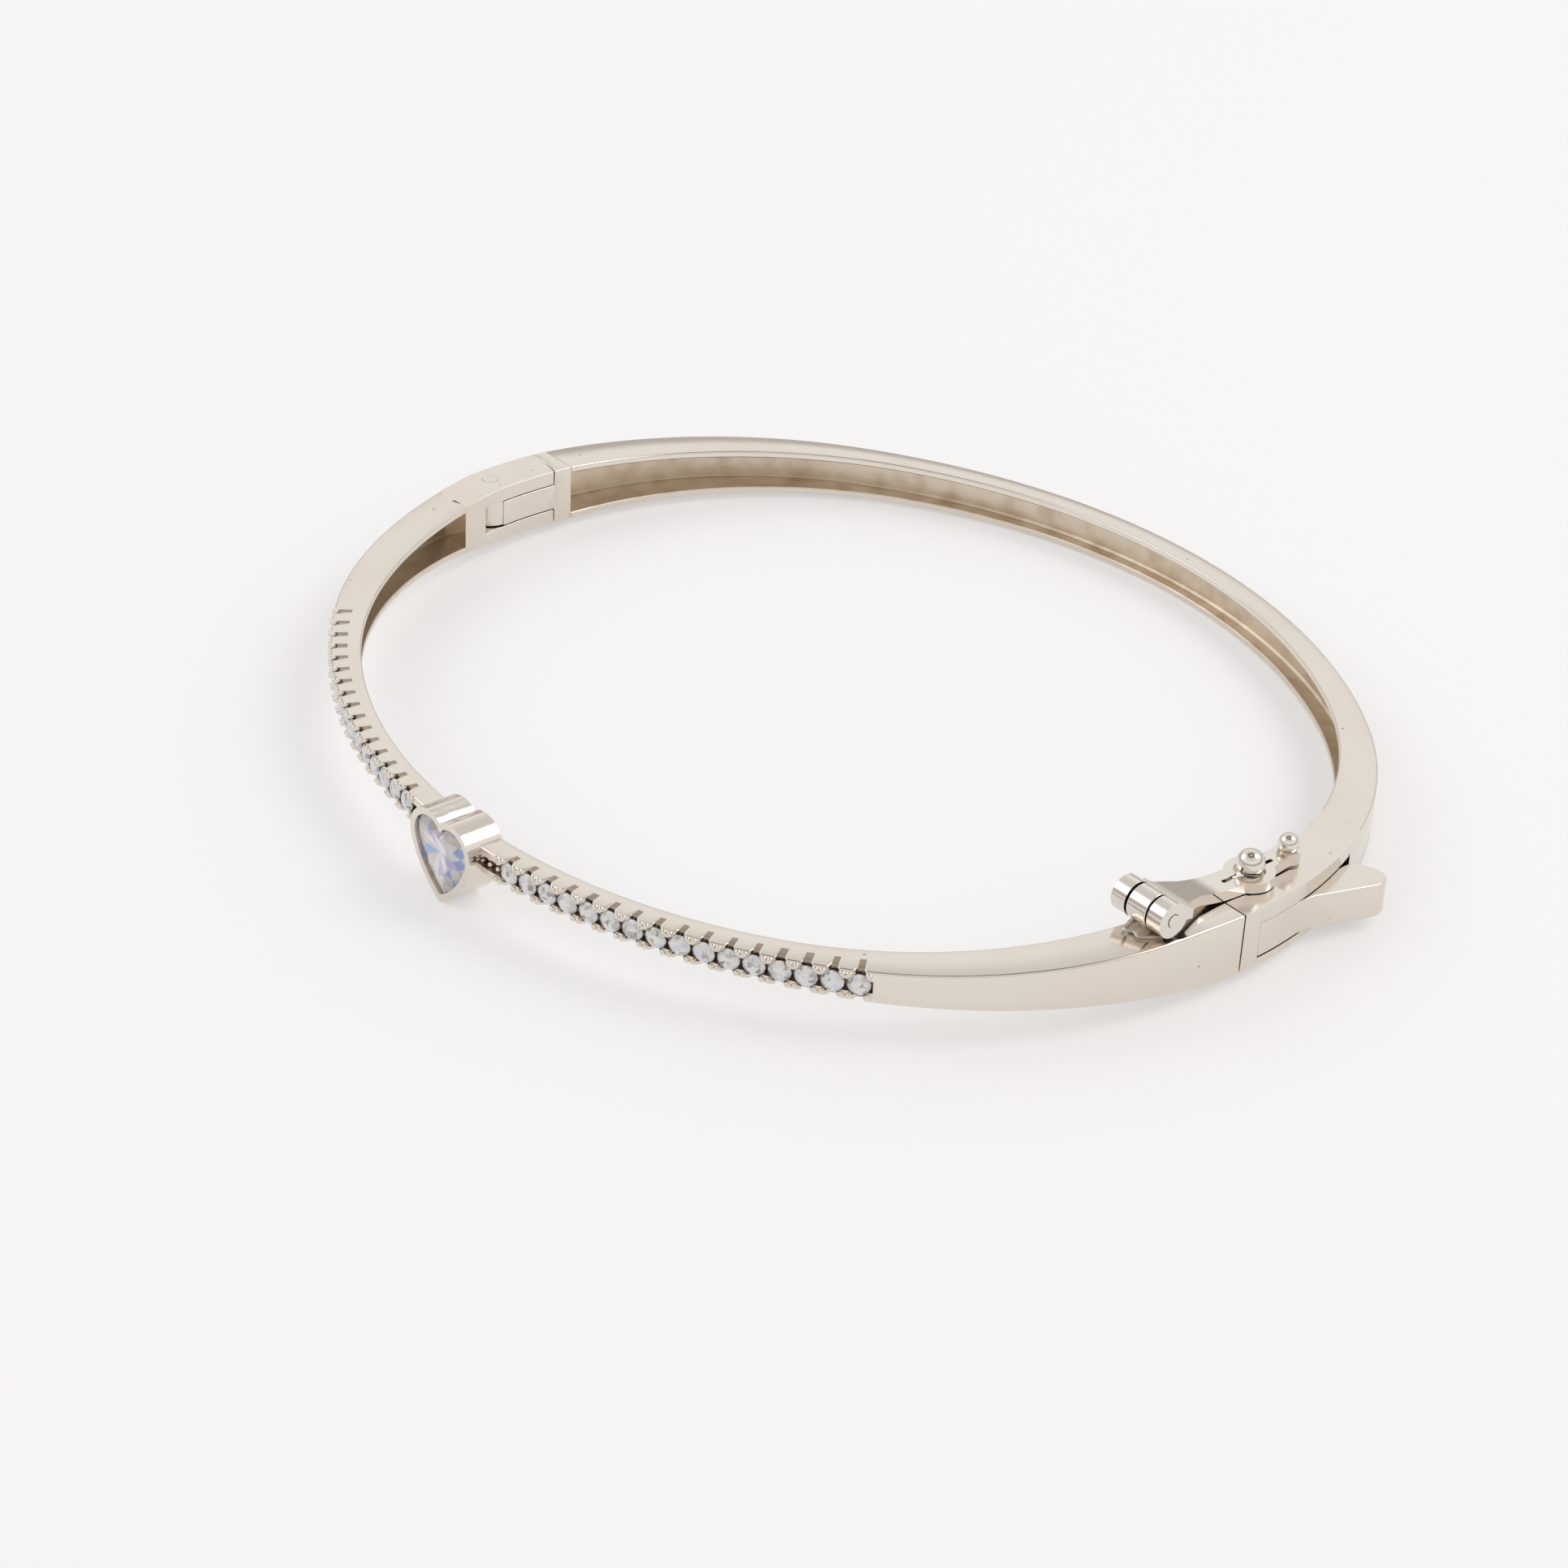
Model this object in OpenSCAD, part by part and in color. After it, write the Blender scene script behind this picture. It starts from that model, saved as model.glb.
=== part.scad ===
// Oval hinged bangle with a bezel set heart stone, a row of small stones on each side of it,
// a push lever clasp and a figure eight safety latch.
// The origin is the centre of the wrist opening, at half the band's height.
// +X points to the clasp, -Y to the heart, +Z up.

/* [Wrist opening] */
// Inside width, from the hinge to the clasp
inner_w = 58; // [56:0.5:70]
// Inside depth, from the front to the back
inner_d = 51.2; // [42:0.2:52]
// How full the ends of the oval are
end_round = 1.07; // [1.02:0.01:1.1]

/* [Band] */
// Wall thickness at the hinge and at the clasp
end_wall = 2.7; // [2.4:0.1:3.4]
// Wall thickness at the middle of the front and of the back
mid_wall = 1.4; // [1.2:0.05:1.7]
// Height at the hinge and at the clasp
end_h = 3.5; // [3.2:0.1:4.2]
// Height at the middle of the front
front_h = 1.55; // [1.5:0.05:2.2]
// Height at the middle of the back
back_h = 2.55; // [2:0.05:3]
// Level stretch on each side of the hinge and the clasp
level_len = 3; // [2:0.5:5]
// Metal outside the inner channel
skin = 0.6; // [0.45:0.05:0.8]
// Lips above and below the inner channel
lip = 0.4; // [0.3:0.05:0.5]

/* [Hinge] */
// Place of the joint line along the band
hinge_y = 1.75; // [1:0.05:2.5]
// Distance from the joint line back to the pin
hinge_reach = 4.1; // [3.4:0.1:4.6]
// Radius of the hinge pin
hinge_pin_r = 0.45; // [0.35:0.05:0.6]
// Height of the tongue
tongue_h = 1.6; // [1.2:0.1:2]
// Widest opening of the bangle, in degrees
open_angle = 55; // [40:1:60]
// Solid metal behind the tongue's end
fork_block = 1.75; // [1.2:0.05:2.5]
// Solid metal behind the shoulder
shoulder = 1; // [0.8:0.1:1.6]

/* [Round stones] */
// Stones on each side of the heart
stones_side = 16; // [8:1:16]
// Diameter of a stone
stone_d = 1.24; // [1:0.02:1.3]
// Distance from stone to stone along the outer face
stone_pitch = 1.36; // [1.32:0.01:1.4]
// Distance from the side of the bezel to the middle of the first stone
first_gap = 1.92; // [0.7:0.02:2.4]
// Depth of the groove that the stones lie in
groove_d = 0.16; // [0.1:0.02:0.24]
// Width of the notch above and below each stone
notch_w = 0.5; // [0.3:0.05:0.6]
// Depth of the notches
notch_d = 0.5; // [0.3:0.05:0.6]

/* [Heart] */
// Width of the bezel
heart_w = 5.3; // [4.6:0.1:5.5]
// Height from the tip to the middle of the lobes
heart_drop = 3.5; // [3:0.1:4]
// Height of the middle of the lobes above the band's middle
heart_z = -0.1; // [-0.4:0.1:0.4]
// Wall of the bezel
bezel_wall = 0.4; // [0.3:0.05:0.5]
// How far the rim stands in front of the band
bezel_front = 0.7; // [0.4:0.05:1]
// How far the bezel reaches behind the band
bezel_back = 0.15; // [0.1:0.05:0.4]

/* [Clasp] */
// Place of the joint line along the band
clasp_y = -0.4; // [-1:0.1:0.4]
// Solid metal behind the lever's thumb end
box_stop = 1.6; // [1:0.1:3]
// Floor of the box behind the clasp tongue
box_floor = 0.55; // [0.4:0.05:0.6]
// Height of the clasp tongue
catch_h = 1.5; // [1.2:0.1:1.8]
// Height of the thumb lever
lever_h = 2; // [1.8:0.1:2.2]
// Thickness of the lever's latching end
lever_t = 0.95; // [0.8:0.05:1.1]
// Start of the lever past the joint line
lever_start = 1.3; // [1.2:0.05:1.6]
// Length of the lever
lever_len = 8.4; // [7.6:0.1:10.1]
// Distance of the lever's pin from its latching end
lever_pivot = 2.6; // [2.5:0.1:2.8]
// How far the lever's thumb end stands off the band
lever_lift = 2.5; // [1.8:0.1:3]
// Height of the lever's middle above the band's middle
lever_z = -0.25; // [-0.4:0.05:0.2]
// Radius of the lever pin
lever_pin_r = 0.3; // [0.25:0.05:0.35]

/* [Safety latch] */
// Distance of the latch hinge before the joint line
latch_hinge = 4.6; // [4.2:0.1:5.2]
// Radius of the latch knuckles
knuckle_r = 0.98; // [0.9:0.02:1.1]
// Length of the latch hinge, across the band
knuckle_len = 3.5; // [3:0.1:4]
// Radius of the latch pin
latch_pin_r = 0.35; // [0.3:0.05:0.45]
// Distance of the ball stud past the joint line
stud_dist = 2.5; // [2.2:0.1:3]
// Radius of the ball
ball_r = 0.78; // [0.7:0.02:0.85]
// Thickness of the latch
latch_t = 0.6; // [0.5:0.05:0.7]
// Half width of the latch's loop
loop_r = 1.35; // [1.3:0.05:1.5]
// Distance of the tip bead past the ball
bead_dist = 3.1; // [2.6:0.05:3.4]
// Radius of the tip bead
bead_r = 0.58; // [0.5:0.02:0.65]

/* [Hidden] */
STONES = [for (side = ["hinge", "clasp"]) for (i = [1 : stones_side]) str("stone_", side, "_side_", i)];

metal = [0.82, 0.8, 0.77];
dark_metal = [0.6, 0.58, 0.55];
clear_stone = [0.9, 0.95, 1, 0.5];

run_gap = 0.03; // radial play of a turning pin
side_gap = 0.06; // play beside moving faces
joint_gap = 0.05; // the fine line between the halves
far = 100; // larger than the object
round_fn = 48;
big_fn = 96; // arcs about the hinge pin
oval_fn = 240;
band_steps = 24; // points along the side outline of one half

// The two ovals, each of four arcs that meet smoothly
a_in = inner_w / 2;
b_in = inner_d / 2;
a_out = a_in + end_wall;
b_out = b_in + mid_wall;
function end_r(a, b) = end_round * b * b / a;
function side_r(a, b) = (pow(a - end_r(a, b), 2) + b * b - pow(end_r(a, b), 2)) / (2 * (b - end_r(a, b)));
function turn_angle(a, b) = atan2(side_r(a, b) - b, a - end_r(a, b));

r_end = end_r(a_out, b_out);
r_side = side_r(a_out, b_out);
turn = turn_angle(a_out, b_out);
side_arc = r_side * (90 - turn) * PI / 180; // outer length from the middle of the front to the end arc
end_x = a_out - r_end; // centre of the clasp side's end arc

// A point on the outer face of the clasp end, at distance v past the joint line and u outward
clasp_turn = asin(clasp_y / r_end);
function at_clasp(v, u) = let (t = clasp_turn + v / r_end * 180 / PI)
    [end_x + (r_end + u) * cos(t), (r_end + u) * sin(t)];

pin_x = -(a_in + a_out) / 2;
pin_y = hinge_y - hinge_reach;
tongue_r = end_wall / 2;
heel_r = tongue_r + 0.12;
slot_wall = heel_r + 0.02; // from the pin to the end of the fork's slot
fork_start = pin_y - slot_wall - fork_block;
shoulder_end = hinge_y + shoulder;

first_stone = heart_w / 2 + first_gap; // from the middle of the heart
pave_end = first_stone + (stones_side - 0.5) * stone_pitch;
stone_r = stone_d / 2;
table_r = stone_r * 0.58;
crown_h = 0.14;
belt_h = 0.06;
point_h = 0.42; // from a stone's belt to its point
point_r = 0.05;
stone_top = -groove_d - 0.02;
seat_r = stone_r + 0.01;
seat_depth = crown_h + belt_h + point_h + groove_d;

lobe_r = heart_w * 0.315;
lobe_x = heart_w / 2 - lobe_r;
heart_side_r = heart_w * 1.04; // the heart's sides bow outwards
heart_side_steps = 12;
rim_y = -(b_out + bezel_front);
bezel_end = -(b_in - bezel_back);
heart_soft = 0.12; // rounding of the heart's tip
belt_y = rim_y + 0.22; // front of the heart stone's belt
heart_belt = 0.16;
heart_crown = 0.16;
heart_point = 1.2; // from the heart stone's belt to its last step
heart_ledge = 0.28; // the bezel's seat under the heart stone
crown_steps = 3;
crown_in = 0.18; // how far each step of the crown draws in
point_steps = 5;
point_in = (lobe_r - heart_soft - bezel_wall - heart_ledge) / point_steps; // how far each step draws in

// Along the clasp v is counted from the joint line, and u outward from the outer face
box_depth = end_wall - box_floor;
catch_play = 0.12; // between the clasp tongue and the box's floor
lever_play = 0.23; // between the clasp tongue and the lever
catch_t = box_depth - catch_play - lever_t - lever_play;
catch_r = a_out - box_depth + catch_play - pin_x; // inner radius of the tongue, about the hinge pin
catch_root = 2; // length of the tongue inside the front rail
boss_r = lever_pin_r + 0.32;
lever_pin_v = lever_start + lever_pivot;
lever_pin_u = -boss_r;
catch_len = lever_pin_v - boss_r - 0.28; // the tongue stops short of the lever's boss
lever_end_v = lever_start + lever_len;
box_end = clasp_y + lever_end_v + box_stop;
flare_v = lever_start + 3.2; // where the thumb wedge begins to stand off the band
thumb_gap = 0.5; // from the lever's thumb end to the end of the window
hook_v = lever_start + 0.15;
hook_w = 0.65;
hook_drop = 0.45;
leaf_t = 0.14; // the spring's thickness
leaf_u = -box_depth + 0.02; // the spring's lowest face
leaf_bend = lever_end_v - 0.6;
leaf_tip = lever_pin_v + 3;

lever_pin_h = lever_h + 0.7;

top_z = end_h / 2;
latch_x = (a_in + a_out) / 2 - 1.15; // the latch stands over the inner edge of the band
latch_y = clasp_y - latch_hinge;
knuckle_z = top_z + knuckle_r + 0.04;
ear_w = 0.95;
ear_gap = knuckle_len - 2 * ear_w;
latch_gap = 0.14; // beside the middle knuckle
stud_y = clasp_y + stud_dist;
stud_r = 0.36;
stud_x = a_in + stud_r + 0.04;
bead_x = stud_x - 0.25;
latch_z = top_z + 0.05;
arch_rise = knuckle_z - latch_z - latch_t / 2 + 0.08;
arch_end = stud_y - loop_r - 0.45; // where the latch comes down flat
ball_z = latch_z + latch_t + ball_r * 0.55;
bead_y = stud_y + bead_dist;
bead_z = latch_z + latch_t + bead_r * 0.62;
waist = 0.85; // half width of the latch's arm
slit_w = 0.24;
slit_len = 2;
slit_end = 0.9; // the slit past the ball
stud_peg = 0.45; // depth of the ball stud's peg in the box
post_r = 0.45;
post_foot = top_z - 0.6; // lowest point of the latch post, let into the rail

// ---- outlines ----

module oval2d(a, b) {
    r = end_r(a, b);
    side = side_r(a, b);
    meet_x = a - r + r * cos(turn_angle(a, b));
    intersection() {
        translate([0, side - b]) circle(side, $fn = oval_fn);
        translate([0, b - side]) circle(side, $fn = oval_fn);
        square([2 * meet_x, 3 * b], center = true);
    }
    for (s = [-1, 1])
        translate([s * (a - r), 0]) circle(r, $fn = oval_fn);
}

module ring2d() {
    difference() {
        oval2d(a_out, b_out);
        oval2d(a_in, b_in);
    }
}

// The part of the plane between two values of y, on one side of x = 0
module zone(side_x, y0, y1) {
    translate([side_x < 0 ? -far : 0, y0]) square([far, y1 - y0]);
}

// ---- the tapering band ----

// Side outline of one half, along y and z: level at the joints, hollowed towards the middle.
// half is -1 for the front and 1 for the back, and drop lowers the outline for the inner channel.
function half_height(half, y) = let (
    mid_h = half < 0 ? front_h : back_h,
    past = max(0, (half * y - level_len) / (b_out - level_len))
) mid_h / 2 + (end_h - mid_h) / 2 * pow(1 - past, 2);

module side2d(half, drop) {
    ys = concat(
        [-half * far],
        [for (i = [0 : band_steps]) half * (level_len + (b_out + 1 - level_len) * i / band_steps)]
    );
    polygon(concat(
        [for (y = ys) [y, half_height(half, y) - drop]],
        [for (i = [len(ys) - 1 : -1 : 0]) [ys[i], drop - half_height(half, ys[i])]]
    ));
}

module band(half, drop = 0) {
    intersection() {
        linear_extrude(end_h, center = true) children();
        rotate([90, 0, 90]) linear_extrude(2 * far, center = true) side2d(half, drop);
    }
}

module channel(half) {
    band(half, lip) intersection() {
        oval2d(a_out - skin, b_out - skin);
        children();
    }
}

// ---- places along the front ----

// Puts its children on the outer face at distance s from the middle of the front, with local +X outward
module on_front(s, side) {
    on_side = s <= side_arc;
    angle = on_side ? s / r_side * 180 / PI - 90 : (s - side_arc) / r_end * 180 / PI - turn;
    radius = on_side ? r_side : r_end;
    mirror([side < 0 ? 1 : 0, 0, 0])
        translate(on_side ? [0, r_side - b_out] : [end_x, 0])
            rotate(angle) translate([radius, 0]) children();
}

module stone_places(side) {
    for (i = [0 : stones_side - 1])
        on_front(first_stone + i * stone_pitch, side) children();
}

// ---- the two front rails ----

module stone_seats(side) {
    stone_places(side) {
        rotate([0, -90, 0])
            translate([0, 0, -1]) cylinder(r = seat_r, h = seat_depth + 1, $fn = round_fn);
        cube([2 * notch_d, notch_w, 2 * end_h], center = true);
    }
}

module stone_groove(side) {
    linear_extrude(stone_d, center = true) intersection() {
        difference() {
            oval2d(a_out + 1, b_out + 1);
            oval2d(a_out - groove_d, b_out - groove_d);
        }
        on_front_wedge(side);
    }
}

// The wedge of the front between the heart and the end of the stones
module on_front_wedge(side) {
    end_angle = turn - (pave_end - side_arc) / r_end * 180 / PI;
    past = pave_end > side_arc;
    from = past ? [end_x, 0] : [0, r_side - b_out];
    angle = past ? -end_angle : pave_end / r_side * 180 / PI - 90;
    mirror([side < 0 ? 1 : 0, 0])
        polygon([from, [0, r_side - b_out], [0, -far], from + far * [cos(angle), sin(angle)]]);
}

module front_rail(side, y_end, channel_end) {
    difference() {
        band(-1) intersection() {
            ring2d();
            zone(side, -far, y_end);
        }
        channel(-1) zone(side, -far, channel_end);
        stone_groove(side);
        stone_seats(side);
        heart_block();
    }
}

module front_rail_hinge_side() {
    color(metal) front_rail(-1, fork_start, fork_start + 1);
}

module front_rail_clasp_side() {
    color(metal) difference() {
        front_rail(1, clasp_y - joint_gap / 2, clasp_y - latch_hinge - 3);
        catch_plate(0);
        translate([latch_x, latch_y, post_foot]) cylinder(r = post_r, h = far, $fn = round_fn);
    }
}

// ---- hinge ----

module pin_hole(r) {
    translate([pin_x, pin_y, 0]) cylinder(r = r, h = 2 * far, center = true, $fn = round_fn);
}

module hinge_fork() {
    color(metal) difference() {
        band(-1) intersection() {
            ring2d();
            zone(-1, fork_start, far);
            union() {
                zone(-1, -far, pin_y);
                translate([pin_x, pin_y]) circle(hinge_reach - joint_gap / 2, $fn = big_fn);
            }
        }
        linear_extrude(tongue_h + 2 * side_gap, center = true) zone(-1, pin_y - slot_wall, far);
        pin_hole(hinge_pin_r);
    }
}

module hinge_pin() {
    color(metal) translate([pin_x, pin_y, 0])
        cylinder(r = hinge_pin_r, h = end_h, center = true, $fn = round_fn);
}

// The tongue's end is round, with a flat heel that meets the fork's wall when the bangle is fully open
module tongue2d() {
    stop = 270 - open_angle;
    heel_tip = heel_r * [cos(stop), sin(stop)];
    edge = (heel_tip[0] + tongue_r) / cos(stop + 90);
    translate([pin_x, pin_y]) {
        circle(tongue_r, $fn = big_fn);
        polygon([
            [0, 0],
            heel_tip,
            heel_tip - edge * [cos(stop + 90), sin(stop + 90)],
            [-tongue_r, 0]
        ]);
    }
}

module hinge_tongue() {
    color(metal) difference() {
        union() {
            band(1) difference() {
                intersection() {
                    ring2d();
                    zone(-1, 0, shoulder_end);
                }
                translate([pin_x, pin_y]) circle(hinge_reach + joint_gap / 2, $fn = big_fn);
            }
            linear_extrude(tongue_h, center = true) {
                tongue2d();
                intersection() {
                    ring2d();
                    zone(-1, pin_y, hinge_y + shoulder / 2);
                }
            }
        }
        pin_hole(hinge_pin_r + run_gap);
    }
}

// ---- back rail ----

module back_rail() {
    color(metal) difference() {
        band(1) intersection() {
            ring2d();
            union() {
                zone(-1, shoulder_end, far);
                zone(1, box_end, far);
            }
        }
        channel(1) translate([-far, -1]) square([2 * far, far]);
    }
}

// ---- clasp ----

// The tongue follows an arc about the hinge pin, so that it slides straight into the box
module catch_plate(play) {
    translate([pin_x, pin_y, 0]) linear_extrude(catch_h + 2 * play, center = true) intersection() {
        difference() {
            circle(catch_r + catch_t + play, $fn = oval_fn);
            circle(catch_r - play, $fn = oval_fn);
        }
        translate([0, clasp_y - pin_y - catch_root]) square([far, catch_root + catch_len + play]);
    }
}

module clasp_tongue() {
    color(metal) difference() {
        catch_plate(0);
        catch_notch();
    }
}

// The hook's place in the tongue, with a sloping end that lets the hook ride in and out
module catch_notch() {
    floor_u = -lever_t - hook_drop - 0.08;
    front_v = hook_v - 0.12;
    back_v = hook_v + hook_w + 0.15;
    linear_extrude(2 * catch_h, center = true) polygon([
        at_clasp(front_v, 0),
        at_clasp(front_v, floor_u),
        at_clasp(back_v, floor_u),
        at_clasp(back_v + 0.25, 0)
    ]);
}

// A slice of the clasp end between two distances along the band and two depths
module clasp_slice(v0, v1, u0, u1, h) {
    steps = 8;
    linear_extrude(h, center = true)
        polygon(concat(
            [for (i = [0 : steps]) at_clasp(v0 + (v1 - v0) * i / steps, u0)],
            [for (i = [steps : -1 : 0]) at_clasp(v0 + (v1 - v0) * i / steps, u1)]
        ));
}

module clasp_box() {
    color(metal) difference() {
        band(1) intersection() {
            ring2d();
            zone(1, clasp_y + joint_gap / 2, box_end);
        }
        translate([0, 0, lever_z])
            clasp_slice(
                lever_start - side_gap,
                lever_end_v + thumb_gap,
                -box_depth,
                2,
                lever_h + 2 * side_gap
            );
        catch_plate(0.08);
        lever_axis() cylinder(r = lever_pin_r, h = lever_pin_h, center = true, $fn = round_fn);
        translate([stud_x, stud_y, top_z - stud_peg]) cylinder(r = stud_r, h = far, $fn = round_fn);
    }
}

module lever_axis() {
    translate(concat(at_clasp(lever_pin_v, lever_pin_u), lever_z)) children();
}

module lever_pin() {
    color(dark_metal) lever_axis() cylinder(r = lever_pin_r, h = lever_pin_h, center = true, $fn = round_fn);
}

// Latching end flush with the band, then a wedge that flares out to the thumb end
module lever2d() {
    front = [for (v = [lever_start : 0.4 : flare_v]) at_clasp(v, 0)];
    thumb = [
        at_clasp(flare_v + 1, 0.1 * lever_lift),
        at_clasp(lever_end_v - 1.3, lever_lift - 0.15),
        at_clasp(lever_end_v - 0.9, lever_lift),
        at_clasp(lever_end_v - 0.45, lever_lift - 0.05),
        at_clasp(lever_end_v - 0.15, lever_lift - 0.35),
        at_clasp(lever_end_v + 0.05, lever_lift - 0.95),
        at_clasp(lever_end_v, 0.55),
        at_clasp(lever_end_v - 0.25, 0.25),
        at_clasp(lever_end_v - 0.6, 0.1),
        at_clasp(lever_end_v - 2.6, -0.45)
    ];
    under = [for (v = [flare_v + 0.6 : -0.4 : hook_v + hook_w]) at_clasp(v, -lever_t)];
    hook = [
        at_clasp(hook_v + hook_w, -lever_t - hook_drop * 0.3),
        at_clasp(hook_v + hook_w * 0.6, -lever_t - hook_drop),
        at_clasp(hook_v, -lever_t - hook_drop),
        at_clasp(hook_v, -lever_t),
        at_clasp(lever_start, -lever_t)
    ];
    polygon(concat(front, thumb, under, hook));
}

module thumb_lever() {
    color(metal) difference() {
        union() {
            translate([0, 0, lever_z]) linear_extrude(lever_h, center = true) lever2d();
            lever_axis() cylinder(r = boss_r, h = lever_h, center = true, $fn = round_fn);
        }
        lever_axis() cylinder(r = lever_pin_r + run_gap, h = far, center = true, $fn = round_fn);
    }
}

// Bent leaf: it lies on the floor of the box and its free end bears under the lever
module lever_spring() {
    bottom = [
        at_clasp(leaf_tip - 1.5, leaf_u),
        at_clasp(leaf_tip + 0.1, leaf_u),
        at_clasp(leaf_bend, leaf_u),
        at_clasp(leaf_bend + 0.2, leaf_u + 0.25)
    ];
    free_leaf = [
        at_clasp(leaf_bend - 0.05, leaf_u + 0.45),
        at_clasp(leaf_tip, -0.62),
        at_clasp(leaf_tip, -0.62 - leaf_t),
        at_clasp(leaf_bend - 0.2, leaf_u + 0.36)
    ];
    inside = [
        at_clasp(leaf_bend - 0.1, leaf_u + leaf_t),
        at_clasp(leaf_tip + 0.1, leaf_u + leaf_t),
        at_clasp(leaf_tip - 1.5, leaf_u + leaf_t)
    ];
    color(dark_metal) translate([0, 0, lever_z]) linear_extrude(lever_h * 0.6, center = true)
        polygon(concat(bottom, free_leaf, inside));
}

// ---- heart ----

// Two round lobes and straight sides to the tip, in the plane seen from the front
module heart2d() {
    // each side is an arc that leaves its lobe smoothly and ends at the tip
    reach = sqrt(lobe_x * lobe_x + heart_drop * heart_drop);
    swing = heart_side_r - lobe_r;
    bend = acos((swing * swing + reach * reach - heart_side_r * heart_side_r) / (2 * swing * reach));
    toward = atan2(-heart_drop, -lobe_x) - bend;
    middle = [lobe_x, 0] + swing * [cos(toward), sin(toward)];
    from = atan2(-middle[1], lobe_x - middle[0]);
    to = atan2(-heart_drop - middle[1], -middle[0]);
    cleft = sqrt(lobe_r * lobe_r - lobe_x * lobe_x);
    side = [
        for (i = [0 : heart_side_steps])
            let (a = from + (to - from) * i / heart_side_steps)
                middle + heart_side_r * [cos(a), sin(a)]
    ];
    translate([0, heart_z]) for (s = [0, 1]) mirror([s, 0]) {
        translate([lobe_x, 0]) circle(lobe_r, $fn = 64);
        polygon(concat([[0, cleft], [lobe_x, 0]], side));
    }
}

// The heart outline, drawn in by inset, from one y to another
module heart_slab(inset, y0, y1) {
    translate([0, y1, 0]) rotate([90, 0, 0]) linear_extrude(y1 - y0)
        offset(r = heart_soft, $fn = 24) offset(delta = -inset - heart_soft) heart2d();
}

module heart_block() {
    heart_slab(0, rim_y, bezel_end);
}

module heart_bezel() {
    color(metal) difference() {
        heart_block();
        heart_slab(bezel_wall, rim_y - 1, belt_y + heart_belt);
        heart_slab(bezel_wall + heart_ledge, rim_y - 1, 0);
    }
}

// A step cut: a low crown in front of the belt and a deeper pavilion behind it
module heart_stone() {
    middle_y = belt_y + heart_belt / 2;
    back_y = belt_y + heart_belt;
    seat = bezel_wall + heart_ledge;
    color(clear_stone) {
        heart_slab(bezel_wall, belt_y, back_y);
        for (i = [1 : crown_steps])
            heart_slab(bezel_wall + i * crown_in, belt_y - heart_crown * i / crown_steps, middle_y);
        for (i = [1 : point_steps])
            heart_slab(seat + (i - 1) * point_in, middle_y, back_y + heart_point * i / point_steps);
    }
}

// ---- round stones ----

module round_stone() {
    belt_x = stone_top - crown_h;
    point_x = belt_x - belt_h - point_h;
    rotate([0, 90, 0]) rotate_extrude($fn = round_fn) polygon([
        [0, stone_top],
        [table_r, stone_top],
        [stone_r, belt_x],
        [stone_r, belt_x - belt_h],
        [point_r, point_x],
        [0, point_x]
    ]);
}

module stone_at(i, side) {
    color(clear_stone) on_front(first_stone + (i - 1) * stone_pitch, side) round_stone();
}

// ---- safety latch ----

// A cylinder along the latch's hinge line
module knuckle(r, h) {
    translate([latch_x, latch_y, knuckle_z]) rotate([0, 90, 0])
        cylinder(r = r, h = h, center = true, $fn = round_fn);
}

module latch_post() {
    color(metal) difference() {
        union() {
            knuckle(knuckle_r, ear_gap - 2 * latch_gap);
            translate([latch_x, latch_y, post_foot])
                cylinder(r = post_r, h = knuckle_z - post_foot, $fn = round_fn);
        }
        knuckle(latch_pin_r, far);
    }
}

module latch_pin() {
    color(dark_metal) knuckle(latch_pin_r, knuckle_len + 0.1);
}

// Outline of the latch seen from above: ears, arm, loop round the stud and tip
module latch2d() {
    blend = 0.35;
    ears_len = 1.4;
    arm_v = 2.9; // where the arm has narrowed to the waist
    offset(r = -blend, $fn = 32) offset(r = blend, $fn = 32) {
        translate([latch_x - knuckle_len / 2, latch_y]) square([knuckle_len, ears_len]);
        polygon([
            [latch_x - knuckle_len / 2 + 0.1, latch_y],
            [latch_x + knuckle_len / 2 - 0.1, latch_y],
            [latch_x + waist, latch_y + arm_v],
            [stud_x + waist, stud_y - 1],
            [stud_x - waist, stud_y - 1],
            [latch_x - waist, latch_y + arm_v]
        ]);
        translate([stud_x, stud_y]) circle(loop_r, $fn = 64);
        translate([bead_x, bead_y]) circle(bead_r + 0.12, $fn = 32);
        polygon([
            [stud_x - 0.7, stud_y],
            [stud_x + 0.7, stud_y],
            [bead_x + 0.55, bead_y],
            [bead_x - 0.55, bead_y]
        ]);
    }
}

// Side outline, along y and z: it arches over the joint, then lies flat on the back half
module latch_side2d() {
    steps = 10;
    function arch(t) = arch_rise * (1 + cos(180 * t)) / 2;
    function arch_y(t) = latch_y + (arch_end - latch_y) * t;
    polygon(concat(
        [for (i = [0 : steps]) [arch_y(i / steps), latch_z + arch(i / steps)]],
        [[far, latch_z], [far, latch_z + latch_t]],
        [for (i = [steps : -1 : 0]) [arch_y(i / steps), latch_z + latch_t + arch(i / steps)]]
    ));
    translate([latch_y, knuckle_z]) circle(knuckle_r, $fn = round_fn);
}

// The hole for the ball, with a slit that lets the loop spring over it
module keyhole2d() {
    translate([stud_x, stud_y]) {
        circle(ball_r + side_gap, $fn = round_fn);
        translate([-slit_w / 2, -slit_len]) square([slit_w, slit_len + ball_r + slit_end]);
    }
}

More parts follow.
